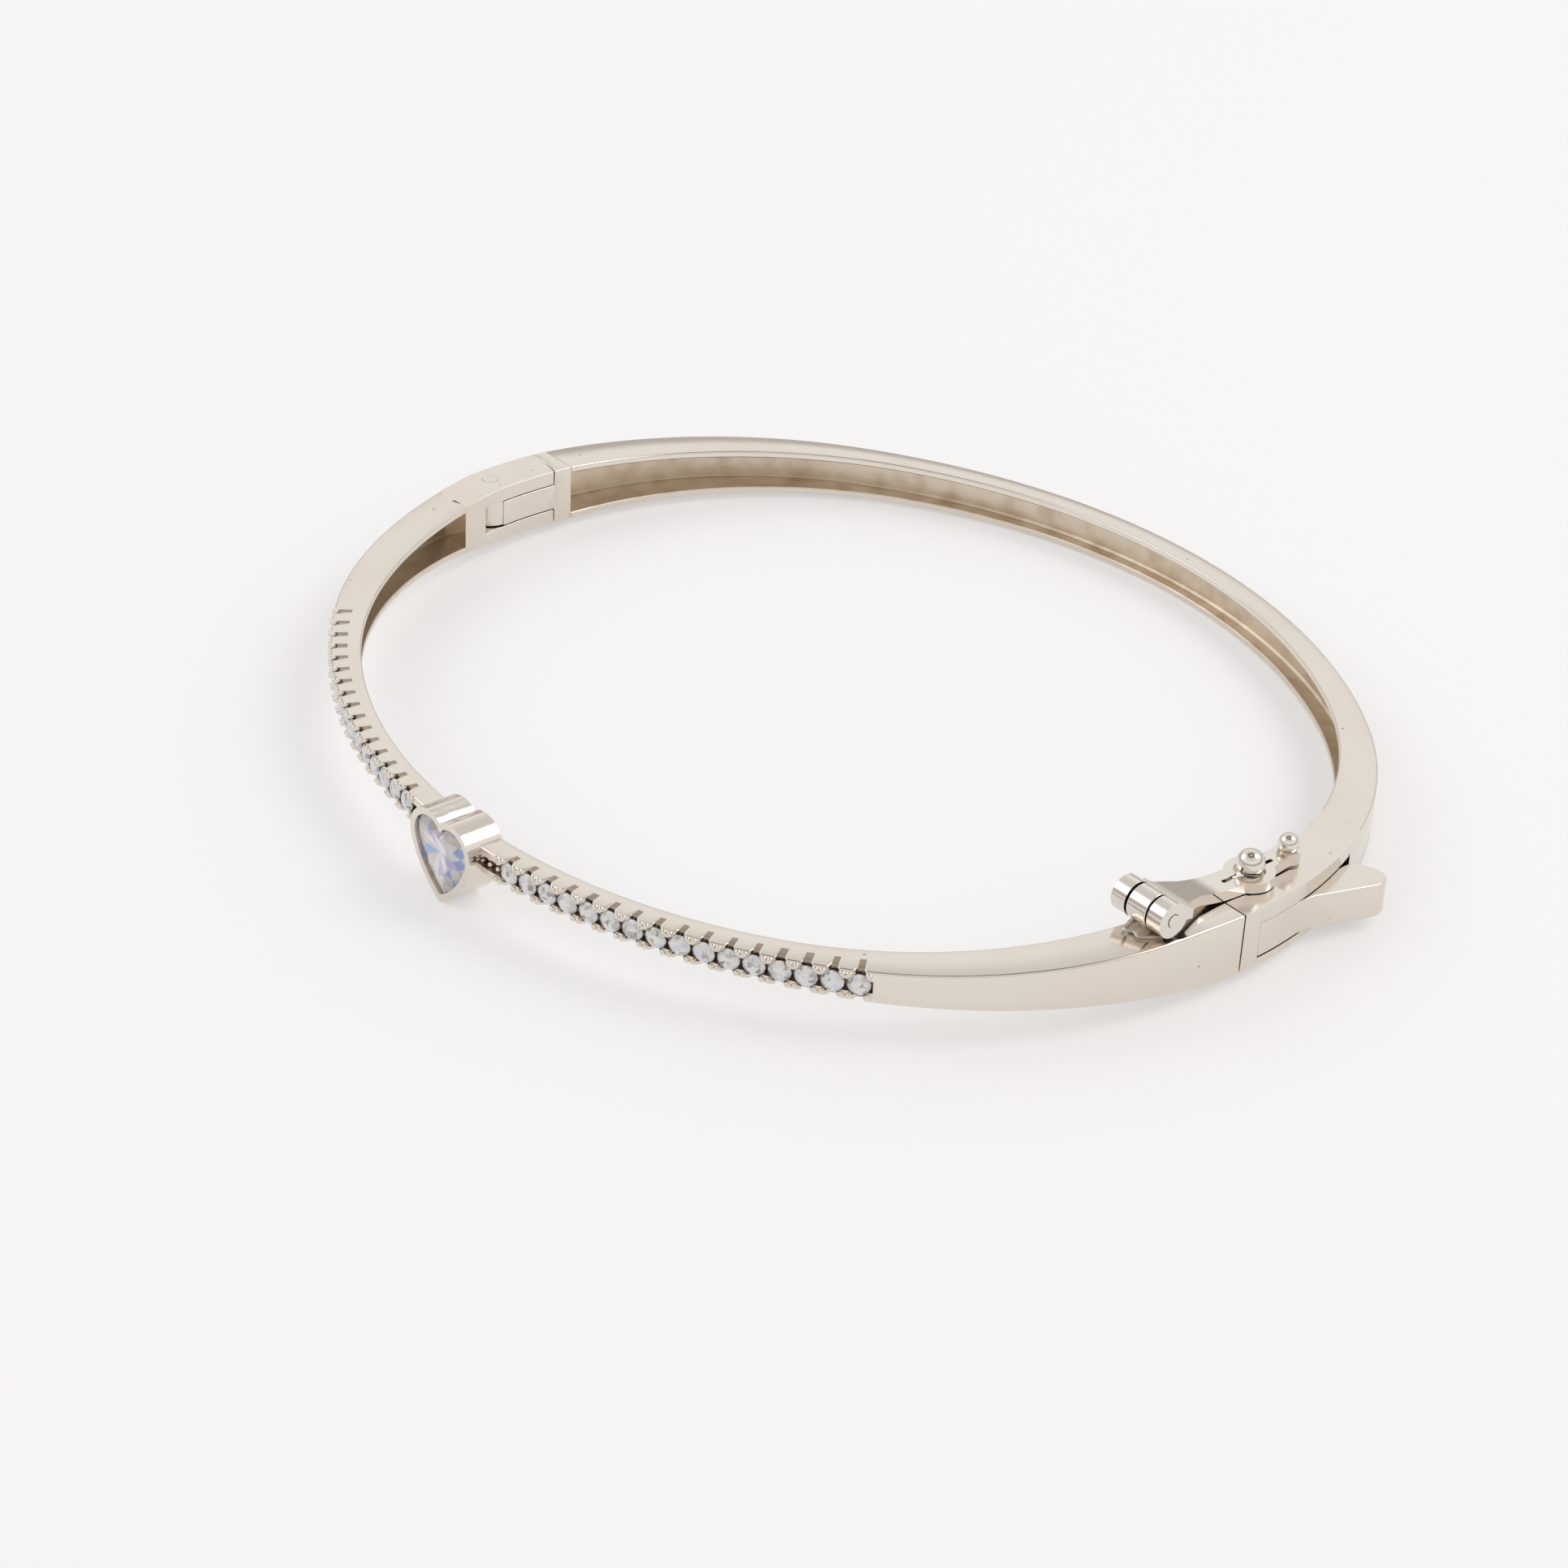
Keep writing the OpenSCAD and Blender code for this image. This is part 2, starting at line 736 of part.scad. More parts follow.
module safety_latch() {
    color(metal) difference() {
        intersection() {
            linear_extrude(far) difference() {
                union() {
                    latch2d();
                    translate([latch_x - knuckle_len / 2, latch_y - 2]) square([knuckle_len, 2.1]);
                }
                keyhole2d();
            }
            rotate([90, 0, 90]) linear_extrude(far) latch_side2d();
        }
        knuckle(knuckle_r + side_gap, ear_gap);
        translate([latch_x - ear_gap / 2, latch_y - 3, 0]) cube([ear_gap, 3, far]);
        knuckle(latch_pin_r + run_gap, far);
        bead_ball();
    }
}

module bead_ball() {
    translate([bead_x, bead_y, bead_z]) sphere(bead_r, $fn = round_fn);
}

module latch_bead() {
    color(metal) bead_ball();
}

module ball_stud() {
    peg_z = top_z - stud_peg;
    color(metal) {
        translate([stud_x, stud_y, peg_z]) cylinder(r = stud_r, h = ball_z - peg_z, $fn = round_fn);
        translate([stud_x, stud_y, ball_z]) sphere(ball_r, $fn = round_fn);
    }
}

// ---- drawing ----

front_rail_hinge_side();
front_rail_clasp_side();
hinge_fork();
hinge_pin();
clasp_tongue();
heart_bezel();
heart_stone();
latch_post();
latch_pin();
back_rail();
hinge_tongue();
clasp_box();
lever_pin();
lever_spring();
ball_stud();
thumb_lever();
safety_latch();
latch_bead();
for (i = [1 : stones_side]) {
    stone_at(i, -1);
    stone_at(i, 1);
}
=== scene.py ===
# Oval hinged bangle with a heart stone, two rows of round stones, a push lever and a safety latch.
# Sizes in the dictionaries are in millimetres; everything built is in metres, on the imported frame.
import math
import random

import bmesh
import bpy
from mathutils import Matrix, Vector, noise


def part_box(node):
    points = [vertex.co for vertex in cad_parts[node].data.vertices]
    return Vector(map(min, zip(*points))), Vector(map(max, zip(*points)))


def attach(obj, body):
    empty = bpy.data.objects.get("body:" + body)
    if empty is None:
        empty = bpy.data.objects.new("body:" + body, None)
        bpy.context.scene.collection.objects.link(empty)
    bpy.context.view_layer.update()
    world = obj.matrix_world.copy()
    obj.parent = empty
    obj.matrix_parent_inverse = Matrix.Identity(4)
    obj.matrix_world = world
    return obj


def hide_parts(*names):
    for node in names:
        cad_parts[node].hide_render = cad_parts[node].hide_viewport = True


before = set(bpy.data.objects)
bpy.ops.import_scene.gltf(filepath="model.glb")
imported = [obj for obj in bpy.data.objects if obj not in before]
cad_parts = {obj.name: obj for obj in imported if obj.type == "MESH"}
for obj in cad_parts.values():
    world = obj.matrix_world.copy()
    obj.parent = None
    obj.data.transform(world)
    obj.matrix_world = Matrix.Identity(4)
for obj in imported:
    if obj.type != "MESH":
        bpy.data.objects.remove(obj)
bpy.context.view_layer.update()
mm = 0.001
print("stage: frame loaded")

# camera first
cameraSet = {
    "place": (137.07, -125.05, 103.61),
    "azimuth": 48.556,
    "elevation": 30.613,
    "roll": 2.984,
    "lens": 86.69,
}


def makeCamera():
    az, el, roll = (math.radians(cameraSet[k]) for k in ("azimuth", "elevation", "roll"))
    back = Vector((math.sin(az) * math.cos(el), -math.cos(az) * math.cos(el), math.sin(el)))
    level = Vector((math.cos(az), math.sin(az), 0))
    upright = back.cross(level)
    right = level * math.cos(roll) + upright * math.sin(roll)
    up = upright * math.cos(roll) - level * math.sin(roll)
    camera = bpy.data.objects.new("camera", bpy.data.cameras.new("camera"))
    camera.matrix_world = Matrix((
        (right.x, up.x, back.x, cameraSet["place"][0] * mm),
        (right.y, up.y, back.y, cameraSet["place"][1] * mm),
        (right.z, up.z, back.z, cameraSet["place"][2] * mm),
        (0, 0, 0, 1),
    ))
    camera.data.lens = cameraSet["lens"]
    camera.data.sensor_width = 36
    camera.data.clip_start = 0.005
    camera.data.clip_end = 20
    bpy.context.scene.collection.objects.link(camera)
    bpy.context.scene.camera = camera


makeCamera()
bpy.context.scene.view_settings.view_transform = "Standard"  # plain colours, as a product picture has
print("stage: camera")

# floor and soft studio light
studio = {
    "floorTone": (0.62, 0.615, 0.618),
    "floorGlow": 0.355,
    "lowTone": (0.93, 0.915, 0.9),
    "sideTone": (0.62, 0.58, 0.54),
    "glowTone": (1.17, 1.16, 1.15),
    "highTone": (0.92, 0.91, 0.9),
    "zenithTone": (0.2, 0.17, 0.14),
    "worldPower": 0.83,
    "mainPower": 0.75,
    "mainSize": 0.35,
    "fillPower": 0.3,
    "fillSize": 0.4,
    "restZ": -1.275,
    "floorSize": 3.0,
    "floorSteps": 24,
    "floorDrop": 0.02,
    "horizon": (
        (0.06, "lowTone"), (0.15, "sideTone"), (0.27, "sideTone"), (0.36, "glowTone"), (0.6, "glowTone"),
        (0.76, "highTone"), (0.9, "highTone"), (0.93, "zenithTone"), (0.975, "zenithTone"),
    ),
}


def surfaceMaterial(name):
    material = bpy.data.materials.new(name)
    material.use_nodes = True
    tree = material.node_tree
    return material, tree.nodes, tree.links, tree.nodes["Principled BSDF"]


def makeStudio():
    # the bangle lies on the heart's tip and on the lower edge of the middle of the back
    tipY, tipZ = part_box("heart_bezel")[0].y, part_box("heart_bezel")[0].z
    slope = (studio["restZ"] * mm - tipZ) / (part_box("back_rail")[1].y - tipY)
    size, steps = studio["floorSize"], studio["floorSteps"]
    mesh = bpy.data.meshes.new("floor")
    grid = bmesh.new()
    rows = []
    for i in range(steps + 1):
        y = -size + 2 * size * i / steps
        z = tipZ + slope * (y - tipY) - studio["floorDrop"] * mm
        rows.append([grid.verts.new((-size + 2 * size * j / steps, y, z)) for j in range(steps + 1)])
    for i in range(steps):
        for j in range(steps):
            grid.faces.new((rows[i][j], rows[i][j + 1], rows[i + 1][j + 1], rows[i + 1][j]))
    grid.to_mesh(mesh)
    grid.free()
    floor = bpy.data.objects.new("floor", mesh)
    bpy.context.scene.collection.objects.link(floor)
    material, nodes, links, shader = surfaceMaterial("pale floor")
    paper = nodes.new("ShaderNodeTexNoise")
    paper.inputs["Scale"].default_value = 900
    coords = nodes.new("ShaderNodeTexCoord")
    links.new(coords.outputs["Object"], paper.inputs["Vector"])
    ramp = nodes.new("ShaderNodeMapRange")
    ramp.inputs["To Min"].default_value = 0.88
    ramp.inputs["To Max"].default_value = 0.98
    links.new(paper.outputs["Fac"], ramp.inputs["Value"])
    links.new(ramp.outputs["Result"], shader.inputs["Roughness"])
    shader.inputs["Base Color"].default_value = (*studio["floorTone"], 1)
    shader.inputs["Emission Color"].default_value = (1, 0.992, 0.996, 1)
    shader.inputs["Emission Strength"].default_value = studio["floorGlow"]
    mesh.materials.append(material)

    world = bpy.data.worlds.new("studio")
    bpy.context.scene.world = world
    world.use_nodes = True
    nodes, links = world.node_tree.nodes, world.node_tree.links
    background = nodes["Background"]
    coords = nodes.new("ShaderNodeTexCoord")
    split = nodes.new("ShaderNodeSeparateXYZ")
    ramp = nodes.new("ShaderNodeValToRGB")
    links.new(coords.outputs["Generated"], split.inputs["Vector"])
    links.new(split.outputs["Z"], ramp.inputs["Fac"])
    ramp.color_ramp.elements[0].position = 0.0
    ramp.color_ramp.elements[0].color = (*studio["lowTone"], 1)
    ramp.color_ramp.elements[1].position = 1.0
    ramp.color_ramp.elements[1].color = (*studio["highTone"], 1)
    for place, tone in studio["horizon"]:
        ramp.color_ramp.elements.new(place).color = (*studio[tone], 1)
    links.new(ramp.outputs["Color"], background.inputs["Color"])
    background.inputs["Strength"].default_value = studio["worldPower"]

    def softbox(name, place, size, power, tone):
        # a round light aimed at the middle of the bangle
        light = bpy.data.lights.new(name, "AREA")
        light.shape = "DISK"
        light.size = size
        light.energy = power
        light.color = tone
        lamp = bpy.data.objects.new(name, light)
        lamp.location = place
        lamp.rotation_mode = "QUATERNION"
        lamp.rotation_quaternion = (-Vector(place)).to_track_quat("-Z", "Y")
        bpy.context.scene.collection.objects.link(lamp)

    softbox("main softbox", (0.25, 0.3, 0.5), studio["mainSize"], studio["mainPower"], (1, 0.985, 0.965))
    softbox("fill softbox", (-0.35, -0.3, 0.35), studio["fillSize"], studio["fillPower"], (0.96, 0.98, 1))


makeStudio()
print("stage: studio")

# shared shader groups


def newGroup(name, inputs, outputs):
    group = bpy.data.node_groups.new(name, "ShaderNodeTree")
    for label, kind, value in inputs:
        socket = group.interface.new_socket(name=label, in_out="INPUT", socket_type=kind)
        socket.default_value = value
    for label, kind in outputs:
        group.interface.new_socket(name=label, in_out="OUTPUT", socket_type=kind)
    start, end = group.nodes.new("NodeGroupInput"), group.nodes.new("NodeGroupOutput")
    return group, group.nodes, group.links, start, end


def makeHazeGroup():
    # thin haze, polishing marks and pits on bright metal
    group, nodes, links, start, end = newGroup(
        "polish haze",
        [
            ("Tone", "NodeSocketColor", (0.8, 0.78, 0.75, 1)),
            ("Warm tone", "NodeSocketColor", (0.8, 0.72, 0.62, 1)),
            ("Warm share", "NodeSocketFloat", 0.25),
            ("Gloss", "NodeSocketFloat", 0.08),
            ("Haze", "NodeSocketFloat", 0.1),
            ("Cloud scale", "NodeSocketFloat", 160.0),
            ("Pit share", "NodeSocketFloat", 0.0),
        ],
        [("Color", "NodeSocketColor"), ("Roughness", "NodeSocketFloat"), ("Height", "NodeSocketFloat")],
    )
    coords = nodes.new("ShaderNodeTexCoord")
    cloud = nodes.new("ShaderNodeTexNoise")
    cloud.inputs["Detail"].default_value = 3
    links.new(coords.outputs["Object"], cloud.inputs["Vector"])
    links.new(start.outputs["Cloud scale"], cloud.inputs["Scale"])
    warmMask = nodes.new("ShaderNodeMapRange")
    warmMask.inputs["From Min"].default_value = 0.45
    warmMask.inputs["From Max"].default_value = 0.75
    links.new(cloud.outputs["Fac"], warmMask.inputs["Value"])
    links.new(start.outputs["Warm share"], warmMask.inputs["To Max"])
    mix = nodes.new("ShaderNodeMix")
    mix.data_type = "RGBA"
    links.new(warmMask.outputs["Result"], mix.inputs[0])
    links.new(start.outputs["Tone"], mix.inputs[6])
    links.new(start.outputs["Warm tone"], mix.inputs[7])

    pits = nodes.new("ShaderNodeTexVoronoi")
    pits.inputs["Scale"].default_value = 520
    links.new(coords.outputs["Object"], pits.inputs["Vector"])
    pitMask = nodes.new("ShaderNodeMapRange")
    pitMask.inputs["From Min"].default_value = 0.03
    pitMask.inputs["From Max"].default_value = 0.06
    pitMask.inputs["To Min"].default_value = 1
    pitMask.inputs["To Max"].default_value = 0
    links.new(pits.outputs["Distance"], pitMask.inputs["Value"])
    rare = nodes.new("ShaderNodeMath")
    rare.operation = "MULTIPLY"
    links.new(pitMask.outputs["Result"], rare.inputs[0])
    links.new(start.outputs["Pit share"], rare.inputs[1])
    dark = nodes.new("ShaderNodeMix")
    dark.data_type = "RGBA"
    dark.inputs[7].default_value = (0.2, 0.14, 0.1, 1)
    links.new(rare.outputs["Value"], dark.inputs[0])
    links.new(mix.outputs[2], dark.inputs[6])
    links.new(dark.outputs[2], end.inputs["Color"])

    fine = nodes.new("ShaderNodeTexNoise")
    fine.inputs["Scale"].default_value = 520
    fine.inputs["Detail"].default_value = 5
    links.new(coords.outputs["Object"], fine.inputs["Vector"])
    blend = nodes.new("ShaderNodeMath")
    blend.operation = "MULTIPLY"
    links.new(cloud.outputs["Fac"], blend.inputs[0])
    links.new(start.outputs["Haze"], blend.inputs[1])
    rough = nodes.new("ShaderNodeMath")
    rough.operation = "ADD"
    links.new(blend.outputs["Value"], rough.inputs[0])
    links.new(start.outputs["Gloss"], rough.inputs[1])
    links.new(rough.outputs["Value"], end.inputs["Roughness"])
    deep = nodes.new("ShaderNodeMath")
    deep.operation = "SUBTRACT"
    links.new(fine.outputs["Fac"], deep.inputs[0])
    links.new(rare.outputs["Value"], deep.inputs[1])
    links.new(deep.outputs["Value"], end.inputs["Height"])
    return group


hazeGroup = makeHazeGroup()


def metal(name, tone, warm, warmShare, gloss, haze, bump, pits=0.0, cloudScale=160.0):
    material, nodes, links, shader = surfaceMaterial(name)
    group = nodes.new("ShaderNodeGroup")
    group.node_tree = hazeGroup
    for label, value in (("Tone", (*tone, 1)), ("Warm tone", (*warm, 1)), ("Warm share", warmShare),
                         ("Gloss", gloss), ("Haze", haze), ("Pit share", pits), ("Cloud scale", cloudScale)):
        group.inputs[label].default_value = value
    dent = nodes.new("ShaderNodeBump")
    dent.inputs["Strength"].default_value = bump
    dent.inputs["Distance"].default_value = 0.00002
    links.new(group.outputs["Height"], dent.inputs["Height"])
    links.new(group.outputs["Color"], shader.inputs["Base Color"])
    links.new(group.outputs["Roughness"], shader.inputs["Roughness"])
    links.new(dent.outputs["Normal"], shader.inputs["Normal"])
    shader.inputs["Metallic"].default_value = 1
    return material


polished = metal("polished band", (0.78, 0.72, 0.65), (0.77, 0.665, 0.57), 0.55, 0.1, 0.16, 0.3, 0.55)
polishedBezel = metal("polished bezel", (0.78, 0.72, 0.65), (0.7, 0.62, 0.54), 0.4, 0.05, 0.14, 0.1)
polishedLatch = metal("polished latch", (0.78, 0.73, 0.67), (0.76, 0.66, 0.57), 0.4, 0.05, 0.1, 0.35)


def addFlutes(material):
    # soft file marks that run back over the left lobe and the cleft
    nodes, links = material.node_tree.nodes, material.node_tree.links
    dent = next(n for n in nodes if n.type == "BUMP")
    coords = nodes.new("ShaderNodeTexCoord")
    wave = nodes.new("ShaderNodeTexWave")
    wave.bands_direction = "X"
    wave.inputs["Scale"].default_value = 420
    wave.inputs["Distortion"].default_value = 2.2
    wave.inputs["Detail"].default_value = 2
    wave.inputs["Detail Scale"].default_value = 1.5
    links.new(coords.outputs["Object"], wave.inputs["Vector"])
    split = nodes.new("ShaderNodeSeparateXYZ")
    links.new(coords.outputs["Object"], split.inputs["Vector"])
    leftward = nodes.new("ShaderNodeMapRange")
    leftward.inputs["From Min"].default_value = 0.0006
    leftward.inputs["From Max"].default_value = 0.0012
    leftward.inputs["To Min"].default_value = 1
    leftward.inputs["To Max"].default_value = 0
    links.new(split.outputs["X"], leftward.inputs["Value"])
    masked = nodes.new("ShaderNodeMath")
    masked.operation = "MULTIPLY"
    links.new(wave.outputs["Fac"], masked.inputs[0])
    links.new(leftward.outputs["Result"], masked.inputs[1])
    folds = nodes.new("ShaderNodeBump")
    folds.inputs["Strength"].default_value = 0.55
    folds.inputs["Distance"].default_value = 0.00006
    links.new(masked.outputs["Value"], folds.inputs["Height"])
    links.new(folds.outputs["Normal"], dent.inputs["Normal"])


addFlutes(polishedBezel)
# inner channel: the rougher surface is its own matte finish, and its darker, warmer colour is painted shade
recess = metal("unpolished recess with painted shade", (0.72, 0.63, 0.52), (0.6, 0.48, 0.35), 0.9, 0.26, 0.3, 0.6,
               cloudScale=700.0)
# the trough under the stones and the walls of the notches: this dark colour is painted shade
notchShadeMetal = metal("notch painted shade", (0.42, 0.34, 0.27), (0.4, 0.3, 0.22), 0.6, 0.3, 0.2, 0.4, cloudScale=900.0)
pinMetal = metal("pin metal", (0.66, 0.64, 0.61), (0.6, 0.5, 0.4), 0.4, 0.16, 0.15, 0.3)
solder = metal("solder", (0.62, 0.58, 0.51), (0.5, 0.4, 0.28), 0.9, 0.2, 0.3, 0.8, cloudScale=900.0)


def clearStone(name, tone, paintedFlashTone, deep, scale, rough, clear, byFacet=False):
    # clear stone whose faint cool and warm flashes and dark facets are painted reflections in its colour
    material, nodes, links, shader = surfaceMaterial(name)
    coords = nodes.new("ShaderNodeTexCoord")
    flash = nodes.new("ShaderNodeTexVoronoi")
    flash.inputs["Scale"].default_value = scale
    links.new(coords.outputs["Object"], flash.inputs["Vector"])
    # the ramp runs from a painted dark reflection through the stone's own tone to a painted cool flash
    ramp = nodes.new("ShaderNodeValToRGB")
    ramp.color_ramp.elements[0].position = 0.12
    ramp.color_ramp.elements[0].color = (*deep, 1)
    ramp.color_ramp.elements[1].position = 0.8
    ramp.color_ramp.elements[1].color = (*paintedFlashTone, 1)
    ramp.color_ramp.elements.new(0.35).color = (*tone, 1)
    ramp.color_ramp.elements.new(0.72).color = (*tone, 1)
    links.new(flash.outputs["Color"], ramp.inputs["Fac"])
    if byFacet:  # each cut face has its own painted flash
        facet = nodes.new("ShaderNodeAttribute")
        facet.attribute_name = "facet"
        links.new(facet.outputs["Fac"], ramp.inputs["Fac"])
        ramp.color_ramp.interpolation = "CONSTANT"
        # a painted violet flash
        ramp.color_ramp.elements.new(0.9).color = (0.72, 0.62, 1.0, 1)
    links.new(ramp.outputs["Color"], shader.inputs["Base Color"])
    shader.inputs["Metallic"].default_value = 0
    shader.inputs["Transmission Weight"].default_value = clear
    shader.inputs["Roughness"].default_value = rough
    shader.inputs["IOR"].default_value = 2.1
    return material


# tones of each stone: its own tone, a painted cool flash and a painted dark reflection
roundStoneLook = clearStone("round stone", (0.95, 0.94, 0.92), (0.78, 0.82, 1.0), (0.36, 0.33, 0.3),
                            4300, 0.03, 0.25)
heartStoneLook = clearStone("heart stone", (0.99, 0.97, 0.97), (0.32, 0.5, 1.0), (0.8, 0.73, 0.67),
                            950, 0.0, 0.55, byFacet=True)
print("stage: materials")

# the band's ovals
band = {
    "a": -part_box("hinge_fork")[0].x / mm,
    "b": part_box("back_rail")[1].y / mm,
    "endWall": 2.7,
    "midWall": 1.4,
    "endRound": 1.07,
    "endHeight": 3.5,
    "frontHeight": 1.55,
    "backHeight": 2.55,
    "level": 3.0,
    "skin": 0.6,
    "lip": 0.4,
    "edge": 0.13,
    "innerEdge": 0.1,
    "stepLength": 0.5,
}


class Oval:
    def __init__(self, a, b):
        self.a, self.b = a, b
        self.r = band["endRound"] * b * b / a
        self.side = ((a - self.r) ** 2 + b * b - self.r ** 2) / (2 * (b - self.r))
        self.turn = math.atan2(self.side - b, a - self.r)
        self.sideArc = self.side * (math.pi / 2 - self.turn)
        self.half = 2 * self.sideArc + 2 * self.turn * self.r

    def at(self, s):
        # point and outward direction, s counted from the middle of the front towards +X
        if s < self.sideArc:
            t = s / self.side - math.pi / 2
            cx, cy, r = 0, self.side - self.b, self.side
        elif s <= self.half - self.sideArc:
            t = (s - self.sideArc) / self.r - self.turn
            cx, cy, r = self.a - self.r, 0, self.r
        else:
            t = math.pi / 2 - (self.half - s) / self.side
            cx, cy, r = 0, self.b - self.side, self.side
        return Vector((cx + r * math.cos(t), cy + r * math.sin(t))), Vector((math.cos(t), math.sin(t)))

    def past(self, p):
        # how far a point lies outside the oval
        x, y = abs(p.x), abs(p.y)
        meet = self.a - self.r + self.r * math.cos(self.turn)
        if x > meet:
            return math.hypot(x - self.a + self.r, y) - self.r
        return math.hypot(x, y + self.side - self.b) - self.side

    def atY(self, y):
        return self.sideArc + (math.asin(y / self.r) + self.turn) * self.r


outer = Oval(band["a"], band["b"])
inner = Oval(band["a"] - band["endWall"], band["b"] - band["midWall"])


def wallAt(s):
    p, n = outer.at(s)
    low, high = 0.5, 4.5
    for _ in range(30):
        middle = (low + high) / 2
        if inner.past(p - n * middle) > 0:
            low = middle
        else:
            high = middle
    return low


def halfHeight(y):
    h = band["frontHeight"] if y < 0 else band["backHeight"]
    past = max(0.0, (abs(y) - band["level"]) / (band["b"] - band["level"]))
    return h / 2 + (band["endHeight"] - h) / 2 * (1 - past) ** 2


# the rows of stones
pave = {
    "count": 16,
    "pitch": 1.36,
    "first": 2.65 + 1.92,
    "stoneRadius": 0.61,
    "land": 0.62,
    "slotHalf": 0.34,
    "troughDepth": 0.5,
    "notchDepth": 0.36,
    "notchInner": 0.22,
    "notchOuter": 0.33,
    "start": 2.2,
}
pave["centres"] = [pave["first"] + i * pave["pitch"] for i in range(pave["count"])]
pave["end"] = pave["centres"][-1] + pave["pitch"] * 0.52


def paveRow(s):
    # depth of the lands and of the trough, and the trough's half height, at distance s
    if s < pave["start"] or s > pave["end"]:
        return 0.0, 0.0, 0.4
    off = min(abs(s - c) for c in pave["centres"])
    reach = math.sqrt(max(pave["land"] ** 2 - off * off, 0))
    troughHalf = max(reach, pave["slotHalf"])
    notch = 0.0
    if off < pave["notchInner"]:
        notch = pave["notchDepth"]
    elif off < pave["notchOuter"]:
        fade = (pave["notchOuter"] - off) / (pave["notchOuter"] - pave["notchInner"])
        notch = pave["notchDepth"] * fade * 0.4
    return notch, pave["troughDepth"], troughHalf


def paveStations():
    marks = [0, 0.07, 0.13, pave["notchInner"], pave["notchInner"] + 0.004,
             pave["notchOuter"], pave["notchOuter"] + 0.02, 0.36, 0.43, 0.5, 0.55, 0.59, 0.64]
    places = []
    for c in pave["centres"]:
        for m in marks:
            places += [c - m, c + m]
    places += [pave["start"], pave["start"] + 0.001, 2.6, 3.1, 3.6, pave["end"], pave["end"] + 0.004]
    return places


